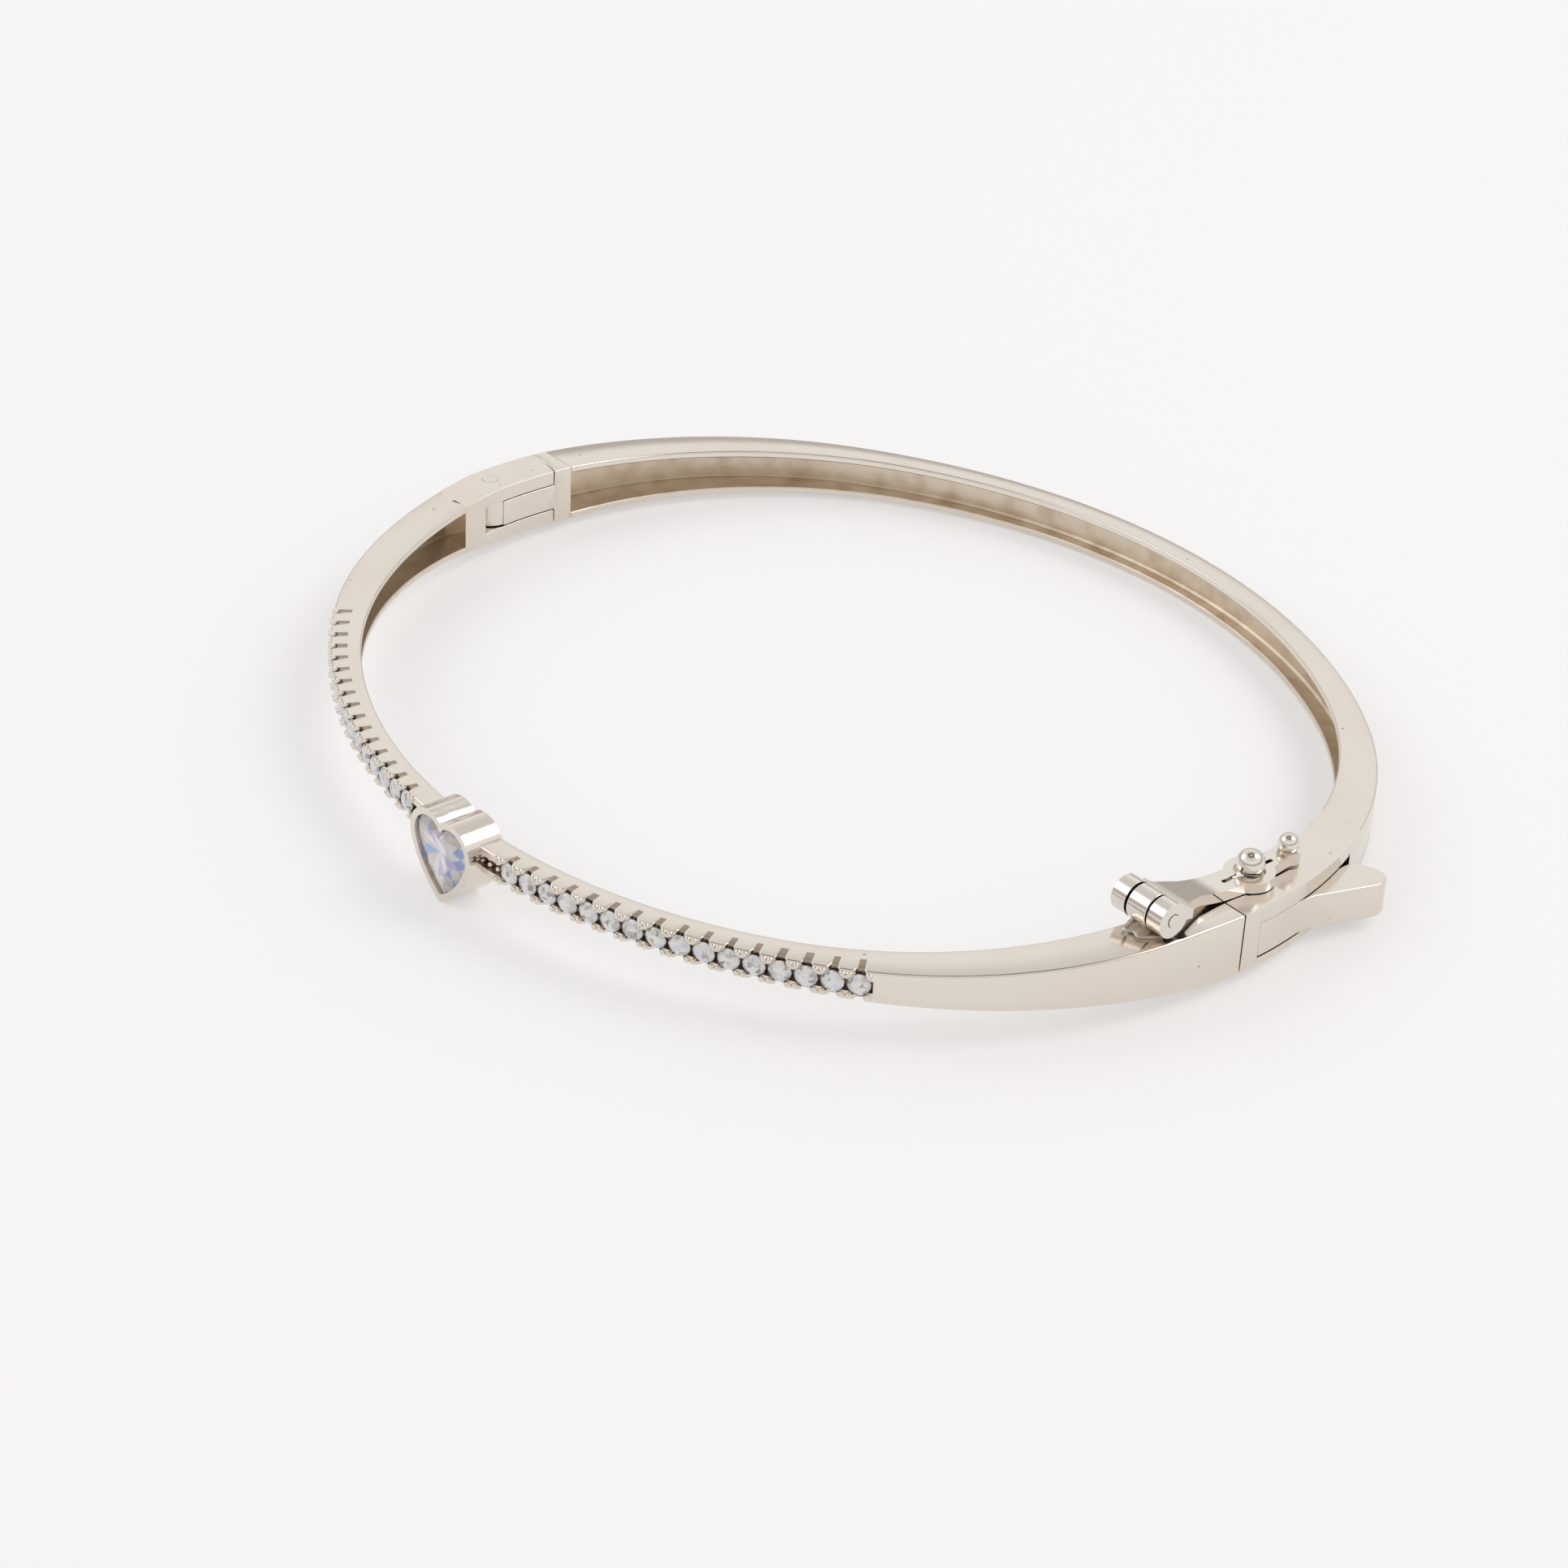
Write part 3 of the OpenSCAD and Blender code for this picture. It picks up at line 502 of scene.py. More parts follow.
# sweeping a rail
def railMesh(name, side, stations, channelTo=math.inf, lockStart=None, lockEnd=None,
             stones=False, groove=0.0):
    # lockStart and lockEnd are the y of a flat end; the channel runs as far as channelTo
    mesh = bmesh.new()
    loops = []
    kinds = []
    e, ie = band["edge"], band["innerEdge"]
    steps = 3
    for index, s in enumerate(stations):
        lock = lockStart if index == 0 else lockEnd if index == len(stations) - 1 else None
        p, n = outer.at(s)
        wall = wallAt(s)
        land, trough, troughHalf = paveRow(s) if stones else (0.0, 0.0, 0.4)
        inChannel = s <= channelTo
        floorDepth = band["skin"] if inChannel else wall

        def inward(depth):
            if lock is None:
                return p - n * depth
            t = math.asin(lock / (outer.r - depth))
            return Vector((outer.a - outer.r + (outer.r - depth) * math.cos(t), lock))

        def place(depth, face, drop=0.0):
            # face is -1 for the bottom face and 1 for the top face, drop is taken off its height in mm
            q = inward(depth)
            z = face * halfHeight(q.y) - math.copysign(drop, face)
            return mesh.verts.new((side * q.x * mm, q.y * mm, z * mm))

        def placeZ(depth, z):
            q = inward(depth)
            return mesh.verts.new((side * q.x * mm, q.y * mm, z * mm))

        hOut = halfHeight(p.y)
        troughHalf = min(troughHalf, hOut - e - 0.03)
        loop = []
        kind = []

        def add(vert, look):
            loop.append(vert)
            kind.append(look)

        # lower outer corner, from the bottom face round to the outer face
        for i in range(steps + 1):
            t = i / steps * math.pi / 2
            add(place(land + e * (1 - math.sin(t)), -1, e * (1 - math.cos(t))), 0)
        add(placeZ(land, -troughHalf - 0.012), 2)
        add(placeZ(land + trough, -troughHalf), 2)
        add(placeZ(max(trough, land), -troughHalf * 0.5), 2)
        add(placeZ(max(trough, land), troughHalf * 0.5), 2)
        add(placeZ(land + trough, troughHalf), 2)
        add(placeZ(land, troughHalf + 0.012), 0)
        for i in range(steps + 1):
            t = (1 - i / steps) * math.pi / 2
            add(place(land + e * (1 - math.sin(t)), 1, e * (1 - math.cos(t))), 0)
        # top face and upper inner corner
        add(place(wall * 0.5 + 0.1, 1), 0)
        for i in range(steps + 1):
            t = i / steps * math.pi / 2
            add(place(wall - ie * (1 - math.sin(t)), 1, ie * (1 - math.cos(t))), 0)
        # inner face: lip, channel, lip
        lip = band["lip"]
        add(place(wall, 1, lip - 0.06), 0)
        add(place(wall - 0.05 if inChannel else wall, 1, lip), 1)
        add(place(floorDepth + 0.12 if inChannel else wall, 1, lip), 1)
        add(place(floorDepth, 1, lip + 0.12), 1)
        add(place(floorDepth, -1, lip + 0.12), 1)
        add(place(floorDepth + 0.12 if inChannel else wall, -1, lip), 1)
        add(place(wall - 0.05 if inChannel else wall, -1, lip), 1)
        add(place(wall, -1, lip - 0.06), 0)
        for i in range(steps + 1):
            t = (1 - i / steps) * math.pi / 2
            add(place(wall - ie * (1 - math.sin(t)), -1, ie * (1 - math.cos(t))), 0)
        add(place(wall * 0.5 + 0.1, -1), 0)
        if lock is not None and groove:
            centre = sum((v.co for v in loop), Vector()) / len(loop)
            for v in loop:
                v.co = centre + (v.co - centre) * (1 - groove)  # an eased edge, so the joint shows
        loops.append(loop)
        kinds.append((kind, inChannel, land, trough))
    count = len(loops[0])
    for k in range(len(loops) - 1):
        a, b = loops[k], loops[k + 1]
        kindA, inside, landA, troughA = kinds[k]
        landB, troughB = kinds[k + 1][2], kinds[k + 1][3]
        for i in range(count):
            j = (i + 1) % count
            face = mesh.faces.new((a[i], a[j], b[j], b[i]))
            face.smooth = True
            # channel faces take the recess metal, whose darker colour is partly painted shade; trough and
            # notch faces take the painted notch shade
            if kindA[i] == 1 and inside and kinds[k + 1][1]:
                face.material_index = 1
            elif kindA[i] == 2 and max(troughA, troughB) > 0:
                face.material_index = 2
            elif max(landA, landB) > 0.4 and abs(landA - landB) > 0.02 or min(landA, landB) > 0.3:
                if i < steps + 1 or steps + 5 < i < 2 * steps + 8:
                    face.material_index = 2
    mesh.faces.new(list(reversed(loops[0])))
    mesh.faces.new(loops[-1])
    bmesh.ops.remove_doubles(mesh, verts=mesh.verts, dist=2e-7)
    bmesh.ops.recalc_face_normals(mesh, faces=mesh.faces)
    data = bpy.data.meshes.new(name)
    mesh.to_mesh(data)
    mesh.free()
    for look in (polished, recess, notchShadeMetal):
        data.materials.append(look)
    data.set_sharp_from_angle(angle=math.radians(38))
    piece = bpy.data.objects.new(name, data)
    bpy.context.scene.collection.objects.link(piece)
    return piece


def spread(start, end, extra=()):
    count = max(2, round((end - start) / band["stepLength"]))
    places = [start + (end - start) * i / count for i in range(count + 1)]
    places = [x for x in places if all(abs(x - y) > 0.015 for y in extra)]
    places += [x for x in extra if start < x < end]
    if start not in places:
        places.append(start)
    if end not in places:
        places.append(end)
    return sorted(set(round(x, 5) for x in places))


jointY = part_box("clasp_box")[0].y / mm
claspEndY = jointY - 0.05
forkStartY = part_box("hinge_fork")[0].y / mm
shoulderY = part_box("hinge_tongue")[1].y / mm
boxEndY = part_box("clasp_box")[1].y / mm

frontEnd = outer.atY(claspEndY)
solidFrom = outer.atY(-8.0)
marks = paveStations()
frontStations = spread(pave["start"] - 0.4, frontEnd, marks + [solidFrom, solidFrom + 0.001])
frontStations.insert(-1, frontEnd - 0.07)
frontClasp = railMesh("front_rail_clasp", 1, frontStations, solidFrom + 0.0005, lockEnd=claspEndY,
                      stones=True, groove=0.045)
hingeStations = spread(pave["start"] - 0.4, outer.atY(forkStartY), marks)
frontHinge = railMesh("front_rail_hinge", -1, hingeStations, lockEnd=forkStartY, stones=True)
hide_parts("front_rail_clasp_side")
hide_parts("front_rail_hinge_side")


def backRail():
    # one rail from the clasp box round the back to the shoulder block
    right = railMesh("back_right", 1, spread(outer.atY(boxEndY), outer.half), lockStart=boxEndY)
    left = railMesh("back_left", -1, spread(outer.atY(shoulderY), outer.half), lockStart=shoulderY)
    joined = bmesh.new()
    joined.from_mesh(right.data)
    joined.from_mesh(left.data)
    seam = [f for f in joined.faces if all(abs(v.co.x) < 1e-7 for v in f.verts)]
    bmesh.ops.delete(joined, geom=seam, context="FACES_ONLY")
    bmesh.ops.remove_doubles(joined, verts=joined.verts, dist=2e-7)
    bmesh.ops.recalc_face_normals(joined, faces=joined.faces)
    joined.to_mesh(right.data)
    joined.free()
    right.data.set_sharp_from_angle(angle=math.radians(38))
    bpy.data.objects.remove(left)
    right.name = "back_rail_piece"
    return right


back = backRail()
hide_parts("back_rail")
print("stage: rails")


# pieces taken from the frame, with softened edges
def softened(node, name, width, look, angle=32, segments=2):
    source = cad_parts[node].data
    mesh = bmesh.new()
    mesh.from_mesh(source)
    bmesh.ops.remove_doubles(mesh, verts=mesh.verts, dist=3e-7)
    bmesh.ops.dissolve_limit(mesh, angle_limit=math.radians(1.0), verts=mesh.verts, edges=mesh.edges)
    for face in mesh.faces:
        face.smooth = True
    data = bpy.data.meshes.new(name)
    mesh.to_mesh(data)
    mesh.free()
    data.set_sharp_from_angle(angle=math.radians(angle))
    piece = bpy.data.objects.new(name, data)
    bpy.context.scene.collection.objects.link(piece)
    bevel = piece.modifiers.new("soft edges", "BEVEL")
    bevel.harden_normals = True
    bevel.width = width * mm
    bevel.segments = segments
    bevel.limit_method = "ANGLE"
    bevel.angle_limit = math.radians(angle)
    bevel.use_clamp_overlap = True
    bevel.miter_outer = "MITER_ARC"
    finished = bpy.data.meshes.new_from_object(piece.evaluated_get(bpy.context.evaluated_depsgraph_get()))
    piece.modifiers.clear()
    piece.data = finished
    finished.materials.clear()
    finished.materials.append(look)
    for poly in finished.polygons:
        poly.material_index = 0
        poly.use_smooth = True
    return piece


forkPiece = softened("hinge_fork", "fork_block", 0.09, polished)
tonguePiece = softened("hinge_tongue", "tongue_block", 0.07, polished)
boxPiece = softened("clasp_box", "box_end", 0.09, polished)
leverPiece = softened("thumb_lever", "push_lever", 0.16, polished, segments=3)
bezelPiece = softened("heart_bezel", "heart_cup", 0.1, polishedBezel, segments=3, angle=40)
latchPiece = softened("safety_latch", "figure_eight", 0.14, polishedLatch, segments=3)
postPiece = softened("latch_post", "latch_knuckle", 0.12, polishedLatch, segments=3)
for piece, node in ((forkPiece, "hinge_fork"), (tonguePiece, "hinge_tongue"), (boxPiece, "clasp_box"),
                    (leverPiece, "thumb_lever"), (bezelPiece, "heart_bezel"), (latchPiece, "safety_latch"),
                    (postPiece, "latch_post")):
    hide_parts(node)
print("stage: blocks")


# turned pieces: the ball stud and the tip bead
def turned(name, profile, place, look, around=40):
    # profile is a list of (radius, height) from the bottom to the top, in millimetres
    mesh = bmesh.new()
    rings = []
    for radius, height in profile:
        if radius < 1e-6:
            rings.append([mesh.verts.new((0, 0, height * mm))])
        else:
            angles = [2 * math.pi * i / around for i in range(around)]
            rings.append([mesh.verts.new((radius * mm * math.cos(a), radius * mm * math.sin(a), height * mm))
                          for a in angles])
    for low, high in zip(rings, rings[1:]):
        for i in range(around):
            j = (i + 1) % around
            if len(low) == 1:
                mesh.faces.new((low[0], high[j], high[i]))
            elif len(high) == 1:
                mesh.faces.new((low[i], low[j], high[0]))
            else:
                mesh.faces.new((low[i], low[j], high[j], high[i]))
    for face in mesh.faces:
        face.smooth = True
    bmesh.ops.translate(mesh, verts=mesh.verts, vec=Vector(place) * mm)
    bmesh.ops.recalc_face_normals(mesh, faces=mesh.faces)
    data = bpy.data.meshes.new(name)
    mesh.to_mesh(data)
    mesh.free()
    data.materials.append(look)
    data.set_sharp_from_angle(angle=math.radians(38))
    piece = bpy.data.objects.new(name, data)
    bpy.context.scene.collection.objects.link(piece)
    return piece


def ballProfile(radius, neck, foot, rings=14):
    # a ball that ends in a neck of radius neck, down to the height foot below its centre
    start = -math.acos(min(1, neck / radius))
    points = [(0, foot), (neck * 1.25, foot), (neck, foot + 0.12)]
    for i in range(rings + 1):
        t = start + (math.pi / 2 - start) * i / rings
        points.append((radius * math.cos(t) if i < rings else 0, radius * math.sin(t)))
    return points


studLow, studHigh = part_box("ball_stud")
studCentre = (studLow + studHigh) / 2
ballRadius = (studHigh.x - studLow.x) / 2 / mm
ballTop = studHigh.z / mm
stud = turned("stud_ball", ballProfile(ballRadius, 0.36, studLow.z / mm - (ballTop - ballRadius)),
              (studCentre.x / mm, studCentre.y / mm, ballTop - ballRadius), polishedLatch)
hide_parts("ball_stud")
beadLow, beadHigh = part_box("latch_bead")
beadCentre = (beadLow + beadHigh) / 2 / mm
beadRadius = (beadHigh.x - beadLow.x) / 2 / mm
bead = turned("tip_bead", ballProfile(beadRadius, 0.34, -beadRadius * 0.92), beadCentre, polishedLatch)
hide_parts("latch_bead")
print("stage: stud and bead")


# the pool of solder that holds the latch's post
solderPool = {"reach": 1.3, "height": 0.2, "seed": 4.0, "topZ": 1.75, "rings": 7, "around": 36}


def makeSolder():
    low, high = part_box("latch_post")
    centre = Vector(((low.x + high.x) / 2, (low.y + high.y) / 2, 0)) / mm
    topZ, around = solderPool["topZ"], solderPool["around"]
    mesh = bmesh.new()
    rows = []
    for k in range(1, solderPool["rings"] + 1):
        share = k / solderPool["rings"]
        row = []
        for i in range(around):
            a = 2 * math.pi * i / around
            wave = noise.noise(Vector((math.cos(a) * 1.6, math.sin(a) * 1.6, solderPool["seed"])))
            reach = solderPool["reach"] * (0.85 + 0.45 * wave) * share
            x, y = centre.x + reach * math.cos(a) * 0.85, centre.y + reach * math.sin(a) * 1.1 - 0.25 * share
            lift = solderPool["height"] * (1 - share) ** 1.6 - 0.05 * share ** 4
            lift += 0.04 * (1 - share) * noise.noise(Vector((x * 3, y * 3, 1)))
            row.append(mesh.verts.new((x * mm, y * mm, (topZ - 0.02 + lift) * mm)))
        rows.append(row)
    top = mesh.verts.new((centre.x * mm, centre.y * mm, (topZ + solderPool["height"]) * mm))
    foot = [mesh.verts.new((v.co.x, v.co.y, (topZ - 0.1) * mm)) for v in rows[-1]]
    for i in range(around):
        j = (i + 1) % around
        mesh.faces.new((top, rows[0][i], rows[0][j]))
        for inside, outside in zip(rows, rows[1:]):
            mesh.faces.new((inside[i], outside[i], outside[j], inside[j]))
        mesh.faces.new((rows[-1][i], foot[i], foot[j], rows[-1][j]))
    mesh.faces.new(foot)
    for face in mesh.faces:
        face.smooth = True
    bmesh.ops.recalc_face_normals(mesh, faces=mesh.faces)
    data = bpy.data.meshes.new("solder_pool")
    mesh.to_mesh(data)
    mesh.free()
    data.materials.append(solder)
    piece = bpy.data.objects.new("solder_pool", data)
    bpy.context.scene.collection.objects.link(piece)
    return piece


solderPiece = makeSolder()


# cut stones
def roundCut(name, radius):
    # brilliant cut: table, stars, kites, belt and pavilion, facing +Z, its belt at the origin
    mesh = bmesh.new()
    r = radius * mm

    def ring(count, share, z, shift):
        angles = [2 * math.pi * (i + shift) / count for i in range(count)]
        return [mesh.verts.new((r * share * math.cos(a), r * share * math.sin(a), z * r)) for a in angles]

    table = ring(8, 0.56, 0.34, 0)
    kite = ring(8, 0.8, 0.2, 0.5)
    beltTop = ring(16, 1.0, 0.03, 0)
    beltLow = ring(16, 1.0, -0.05, 0)
    low = ring(8, 0.38, -0.62, 0.5)
    point = mesh.verts.new((0, 0, -0.9 * r))
    mesh.faces.new(table)
    for i in range(8):
        j = (i + 1) % 8
        mesh.faces.new((table[i], kite[i], table[j]))
        mesh.faces.new((table[i], kite[i - 1], beltTop[2 * i], kite[i]))
        mesh.faces.new((kite[i], beltTop[2 * i], beltTop[2 * i + 1]))
        mesh.faces.new((kite[i], beltTop[2 * i + 1], beltTop[(2 * i + 2) % 16]))
        mesh.faces.new((low[i], beltLow[2 * i + 1], beltLow[2 * i]))
        mesh.faces.new((low[i], beltLow[(2 * i + 2) % 16], beltLow[2 * i + 1]))
        mesh.faces.new((low[i - 1], low[i], beltLow[2 * i]))
        mesh.faces.new((point, low[i], low[i - 1]))
    for i in range(16):
        j = (i + 1) % 16
        mesh.faces.new((beltTop[i], beltLow[i], beltLow[j], beltTop[j]))
    bmesh.ops.recalc_face_normals(mesh, faces=mesh.faces)
    data = bpy.data.meshes.new(name)
    mesh.to_mesh(data)
    mesh.free()
    return bpy.data.objects.new(name, data)


def beadShape(name):
    # a prong's tip: a rounded bead, longer along the band, about one millimetre across
    mesh = bmesh.new()
    rings = 4
    around = 10
    rows = []
    for i in range(1, rings + 1):
        t = math.pi / 2 * i / rings
        rows.append([mesh.verts.new((0.5 * math.sin(t) * math.cos(2 * math.pi * k / around),
                                     0.5 * math.sin(t) * math.sin(2 * math.pi * k / around),
                                     0.5 * math.cos(t))) for k in range(around)])
    foot = [mesh.verts.new((v.co.x * 0.96, v.co.y * 0.96, -0.7)) for v in rows[-1]]
    top = mesh.verts.new((0, 0, 0.5))
    for k in range(around):
        j = (k + 1) % around
        mesh.faces.new((top, rows[0][k], rows[0][j]))
        for upper, lower in zip(rows, rows[1:]):
            mesh.faces.new((upper[k], lower[k], lower[j], upper[j]))
        mesh.faces.new((rows[-1][k], foot[k], foot[j], rows[-1][j]))
    mesh.faces.new(foot)
    for face in mesh.faces:
        face.smooth = True
    bmesh.ops.recalc_face_normals(mesh, faces=mesh.faces)
    data = bpy.data.meshes.new(name)
    mesh.to_mesh(data)
    mesh.free()
    data.set_sharp_from_angle(angle=math.radians(60))
    return bpy.data.objects.new(name, data)


def settingTree(name, shape, look):
    # puts the shape on each point: its Z along facing, its X along the band
    tree = bpy.data.node_groups.new(name, "GeometryNodeTree")
    tree.interface.new_socket(name="Points", in_out="INPUT", socket_type="NodeSocketGeometry")
    for label, value in (("Width", 1.0), ("Height", 1.0), ("Depth", 1.0), ("Spin", 0.0), ("Lean", 0.0)):
        socket = tree.interface.new_socket(name=label, in_out="INPUT", socket_type="NodeSocketFloat")
        socket.default_value = value
    socket = tree.interface.new_socket(name="Seed", in_out="INPUT", socket_type="NodeSocketInt")
    socket.default_value = 3
    tree.interface.new_socket(name="Geometry", in_out="OUTPUT", socket_type="NodeSocketGeometry")
    nodes, links = tree.nodes, tree.links
    start, end = nodes.new("NodeGroupInput"), nodes.new("NodeGroupOutput")
    facing = nodes.new("GeometryNodeInputNamedAttribute")
    facing.data_type = "FLOAT_VECTOR"
    facing.inputs["Name"].default_value = "facing"
    along = nodes.new("GeometryNodeInputNamedAttribute")
    along.data_type = "FLOAT_VECTOR"
    along.inputs["Name"].default_value = "along"
    axes = nodes.new("FunctionNodeAxesToRotation")
    axes.primary_axis = "Z"
    axes.secondary_axis = "X"
    links.new(facing.outputs["Attribute"], axes.inputs["Primary Axis"])
    links.new(along.outputs["Attribute"], axes.inputs["Secondary Axis"])
    # a small random spin and lean, so that no two stones flash alike
    low = nodes.new("ShaderNodeCombineXYZ")
    high = nodes.new("ShaderNodeCombineXYZ")
    for axis, label in (("X", "Lean"), ("Y", "Lean"), ("Z", "Spin")):
        less = nodes.new("ShaderNodeMath")
        less.operation = "MULTIPLY"
        less.inputs[1].default_value = -1
        links.new(start.outputs[label], less.inputs[0])
        links.new(less.outputs["Value"], low.inputs[axis])
        links.new(start.outputs[label], high.inputs[axis])
    chance = nodes.new("FunctionNodeRandomValue")
    chance.data_type = "FLOAT_VECTOR"
    links.new(low.outputs["Vector"], chance.inputs[0])
    links.new(high.outputs["Vector"], chance.inputs[1])
    links.new(start.outputs["Seed"], chance.inputs["Seed"])
    turnBy = nodes.new("FunctionNodeEulerToRotation")
    links.new(chance.outputs[0], turnBy.inputs["Euler"])
    rotate = nodes.new("FunctionNodeRotateRotation")
    rotate.rotation_space = "LOCAL"
    links.new(axes.outputs["Rotation"], rotate.inputs["Rotation"])
    links.new(turnBy.outputs["Rotation"], rotate.inputs["Rotate By"])
    size = nodes.new("ShaderNodeCombineXYZ")
    links.new(start.outputs["Width"], size.inputs["X"])
    links.new(start.outputs["Height"], size.inputs["Y"])
    links.new(start.outputs["Depth"], size.inputs["Z"])
    source = nodes.new("GeometryNodeObjectInfo")
    source.inputs["Object"].default_value = shape
    instance = nodes.new("GeometryNodeInstanceOnPoints")
    links.new(start.outputs["Points"], instance.inputs["Points"])
    links.new(source.outputs["Geometry"], instance.inputs["Instance"])
    links.new(rotate.outputs["Rotation"], instance.inputs["Rotation"])
    links.new(size.outputs["Vector"], instance.inputs["Scale"])
    real = nodes.new("GeometryNodeRealizeInstances")
    links.new(instance.outputs["Instances"], real.inputs["Geometry"])
    paint = nodes.new("GeometryNodeSetMaterial")
    paint.inputs["Material"].default_value = look
    links.new(real.outputs["Geometry"], paint.inputs["Geometry"])
    links.new(paint.outputs["Geometry"], end.inputs["Geometry"])
    return tree


def setOnPoints(name, places, tree, sizes):
    # places is a list of (point, facing, along), in metres
    data = bpy.data.meshes.new(name)
    data.from_pydata([tuple(p) for p, _, _ in places], [], [])
    for label, k in (("facing", 1), ("along", 2)):
        attribute = data.attributes.new(label, "FLOAT_VECTOR", "POINT")
        attribute.data.foreach_set("vector", [c for row in places for c in row[k]])
    piece = bpy.data.objects.new(name, data)
    bpy.context.scene.collection.objects.link(piece)
    modifier = piece.modifiers.new("setting", "NODES")
    modifier.node_group = tree
    for item in tree.interface.items_tree:
        if item.in_out == "INPUT" and item.name in sizes:
            modifier[item.identifier] = sizes[item.name]
    finished = bpy.data.meshes.new_from_object(piece.evaluated_get(bpy.context.evaluated_depsgraph_get()))
    piece.modifiers.clear()
    piece.data = finished
    for label in ("facing", "along"):
        if label in finished.attributes:
            finished.attributes.remove(finished.attributes[label])
    return piece


setting = {
    "stoneDepth": 0.14,
    "beadAlong": 0.2,
    "beadWidth": 0.36,
    "beadHeight": 0.36,
    "beadDepth": 0.4,
    "beadSink": 0.04,
    "beadLevel": 0.6,
    "beadEdge": 0.17,
    "innerBeads": (2.98, 3.6),
    "innerDepth": 0.34,
    "innerLevel": 0.2,
    "seed": 7,
}


def rowPlace(s, side, depth, z=0.0):
    p, n = outer.at(s)
    q = p - n * depth
    facing = Vector((side * n.x, n.y, 0))
    along = Vector((-side * n.y, n.x, 0))
    return Vector((side * q.x * mm, q.y * mm, z * mm)), facing, along


gem = roundCut("round cut", pave["stoneRadius"])
stoneTree = settingTree("stone setting", gem, roundStoneLook)
prongShape = beadShape("prong bead")
prongTree = settingTree("prong setting", prongShape, polished)
stonePlaces = [rowPlace(s, side, setting["stoneDepth"]) for side in (-1, 1) for s in pave["centres"]]
stoneTurns = {"Spin": 0.6, "Lean": 0.05, "Seed": setting["seed"]}
stones = setOnPoints("round_stones", stonePlaces, stoneTree, stoneTurns)
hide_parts(*[f"stone_{word}_side_{i + 1}"
                      for word in ("hinge", "clasp") for i in range(pave["count"])])

prongPlaces = []
for side in (-1, 1):
    middles = [c - pave["pitch"] / 2 for c in pave["centres"]]
    middles.append(pave["centres"][-1] + pave["pitch"] / 2 - 0.02)
    for m in middles:
        level = min(halfHeight(outer.at(m)[0].y) - setting["beadEdge"], setting["beadLevel"])
        for z in (-1, 1):
            for d in (-1, 1):
                if m == middles[-1] and d == 1:
                    continue
                s = m + d * setting["beadAlong"] * 0.86
                prongPlaces.append(rowPlace(s, side, setting["beadSink"], z * level))
for side in (-1, 1):
    for s in setting["innerBeads"]:  # small beads in the gap beside the heart
        prongPlaces += [rowPlace(s, side, setting["innerDepth"], z * setting["innerLevel"]) for z in (-1, 1)]
prongSizes = {word: setting["bead" + word] * mm for word in ("Width", "Height", "Depth")}
prongs = setOnPoints("prong_beads", prongPlaces, prongTree, prongSizes)
print("stage: stones and prongs")

# heart stone
heartCut = {
    "inset": 0.42,
    "lobeShare": 0.315,
    "sideShare": 1.04,
    "table": 0.6,
    "crown": 0.3,
    "belt": 0.12,
    "beltSet": 0.16,
    "depth": 1.3,
    "points": 28,
    "seed": 11,
}


def heartOutline(shrink):
    # one half of the cup's opening from the cleft round to the tip: a lobe, then a side that bows outwards
    low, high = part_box("heart_bezel")
    width = (high.x - low.x) / mm
    r = width * heartCut["lobeShare"]
    lobe = Vector((width / 2 - r, high.z / mm - r))
    tip = Vector((0, low.z / mm - 0.03))
    sideR = width * heartCut["sideShare"]
    swing = sideR - r
    reach = (tip - lobe).length
    bend = math.acos((swing * swing + reach * reach - sideR * sideR) / (2 * swing * reach))
    toward = math.atan2(tip.y - lobe.y, tip.x - lobe.x) - bend
    middle = lobe + swing * Vector((math.cos(toward), math.sin(toward)))
    start = math.pi - math.acos(min(1, lobe.x / (r - shrink)))
    turn = math.atan2(lobe.y - middle.y, lobe.x - middle.x)
    end = -math.acos(min(1, -middle.x / (sideR - shrink)))
    points = []
    half = heartCut["points"] // 2
    lobeSteps = round(half * 0.6)
    for i in range(lobeSteps):
        t = start + (turn - start) * i / lobeSteps
        points.append(lobe + (r - shrink) * Vector((math.cos(t), math.sin(t))))
    for i in range(half - lobeSteps + 1):
        t = turn + (end - turn) * i / (half - lobeSteps)
        points.append(middle + (sideR - shrink) * Vector((math.cos(t), math.sin(t))))
    return points


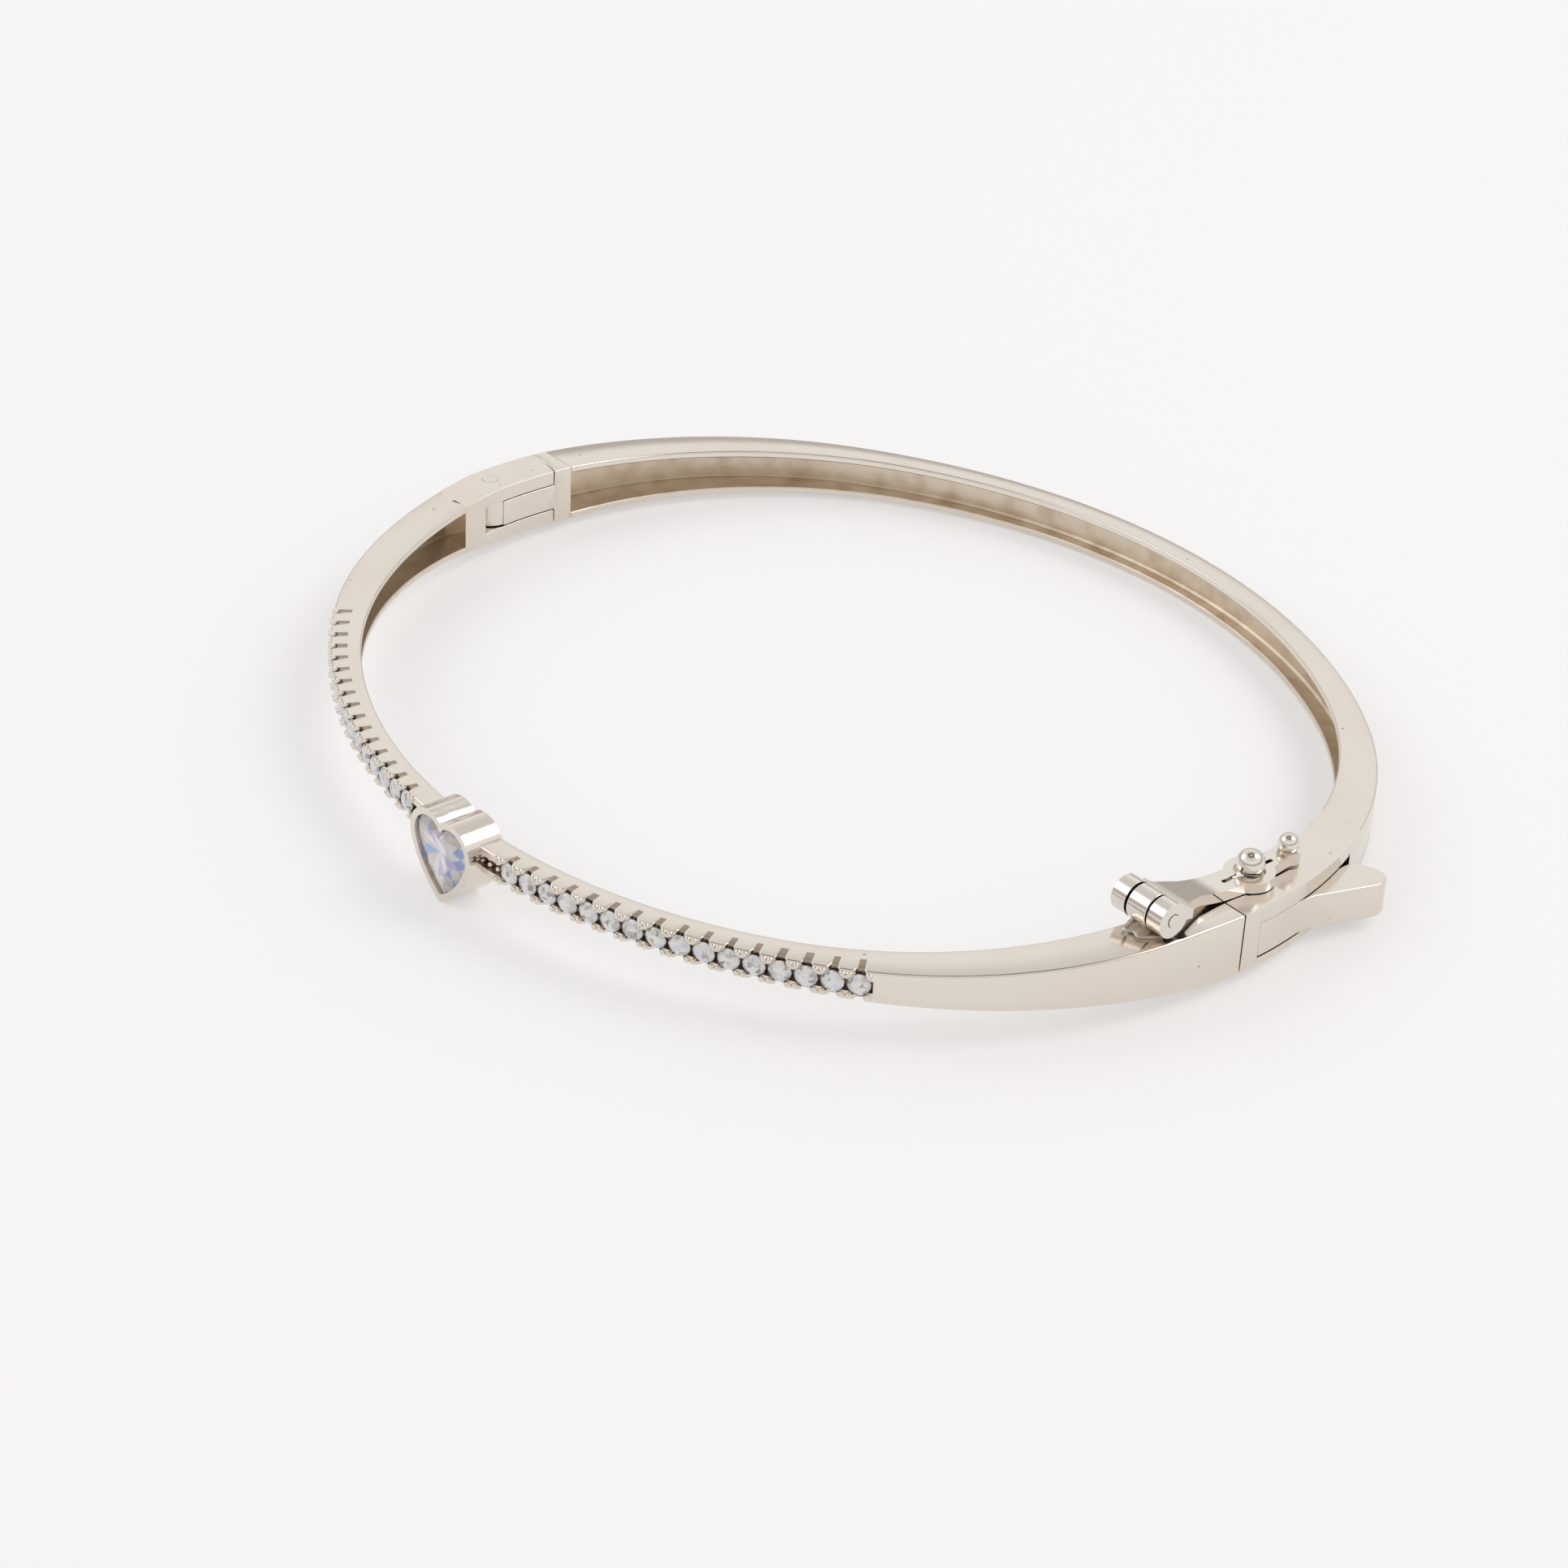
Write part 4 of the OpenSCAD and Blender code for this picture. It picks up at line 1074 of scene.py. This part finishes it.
def makeHeartStone():
    mesh = bmesh.new()
    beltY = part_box("heart_stone")[0].y / mm + heartCut["beltSet"]
    tableY = beltY - heartCut["crown"]
    outline = heartOutline(heartCut["inset"])
    outline = outline + [Vector((-p.x, p.y)) for p in reversed(outline[1:-1])]
    centre = Vector((0, sum(p.y for p in outline) / len(outline) + 0.15))

    def ring(share, y, skip=1, shift=0.0):
        made = []
        n = len(outline)
        for i in range(0, n, skip):
            k = i + shift
            p = outline[int(k) % n].lerp(outline[(int(k) + 1) % n], k - int(k))
            q = centre + (p - centre) * share
            made.append(mesh.verts.new((q.x * mm, y * mm, q.y * mm)))
        return made

    belt = ring(1.0, beltY)
    beltBack = ring(1.0, beltY + heartCut["belt"])
    star = ring(0.82, beltY - heartCut["crown"] * 0.55, 2, 1.0)
    table = ring(heartCut["table"], tableY, 2)
    low = ring(0.5, beltY + heartCut["belt"] + heartCut["depth"] * 0.62, 2, 1.0)
    point = mesh.verts.new((0, (beltY + heartCut["depth"]) * mm, (centre.y - 0.1) * mm))
    n, m = len(belt), len(table)
    heart = mesh.verts.new((0.12 * mm, tableY * mm, (centre.y - 0.1) * mm))
    for i in range(m):
        j = (i + 1) % m
        mesh.faces.new((table[i], table[j], heart))
        mesh.faces.new((table[i], star[i], table[j]))
        mesh.faces.new((table[i], star[i - 1], belt[2 * i], star[i]))
        mesh.faces.new((star[i], belt[2 * i], belt[2 * i + 1]))
        mesh.faces.new((star[i], belt[2 * i + 1], belt[(2 * i + 2) % n]))
        mesh.faces.new((low[i], beltBack[2 * i + 1], beltBack[2 * i]))
        mesh.faces.new((low[i], beltBack[(2 * i + 2) % n], beltBack[2 * i + 1]))
        mesh.faces.new((low[i - 1], low[i], beltBack[2 * i]))
        mesh.faces.new((point, low[i], low[i - 1]))
    for i in range(n):
        j = (i + 1) % n
        mesh.faces.new((belt[i], beltBack[i], beltBack[j], belt[j]))
    bmesh.ops.recalc_face_normals(mesh, faces=mesh.faces)
    facet = mesh.faces.layers.float.new("facet")
    chance = random.Random(heartCut["seed"])
    for face in mesh.faces:
        face[facet] = chance.random()
    data = bpy.data.meshes.new("heart_cut")
    mesh.to_mesh(data)
    mesh.free()
    data.materials.append(heartStoneLook)
    piece = bpy.data.objects.new("heart_cut", data)
    bpy.context.scene.collection.objects.link(piece)
    return piece


heartGem = makeHeartStone()
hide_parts("heart_stone")
print("stage: heart stone")

# materials on the CAD nodes that stay
staying = {
    "hinge_pin": polished,
    "clasp_tongue": polished,
    "latch_pin": polishedLatch,
    "lever_pin": pinMetal,
    "lever_spring": pinMetal,
}
for node, look in staying.items():
    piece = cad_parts[node]
    piece.data.materials.clear()
    piece.data.materials.append(look)

# every piece rides on its body
riding = {
    "front_half": [
        frontClasp, frontHinge, forkPiece, bezelPiece, postPiece, stones, prongs, heartGem, solderPiece,
    ],
    "back_half": [back, tonguePiece, boxPiece, stud],
    "lever": [leverPiece],
    "latch": [latchPiece, bead],
}
for body, pieces in riding.items():
    for piece in pieces:
        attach(piece, body)
print("stage: riding")
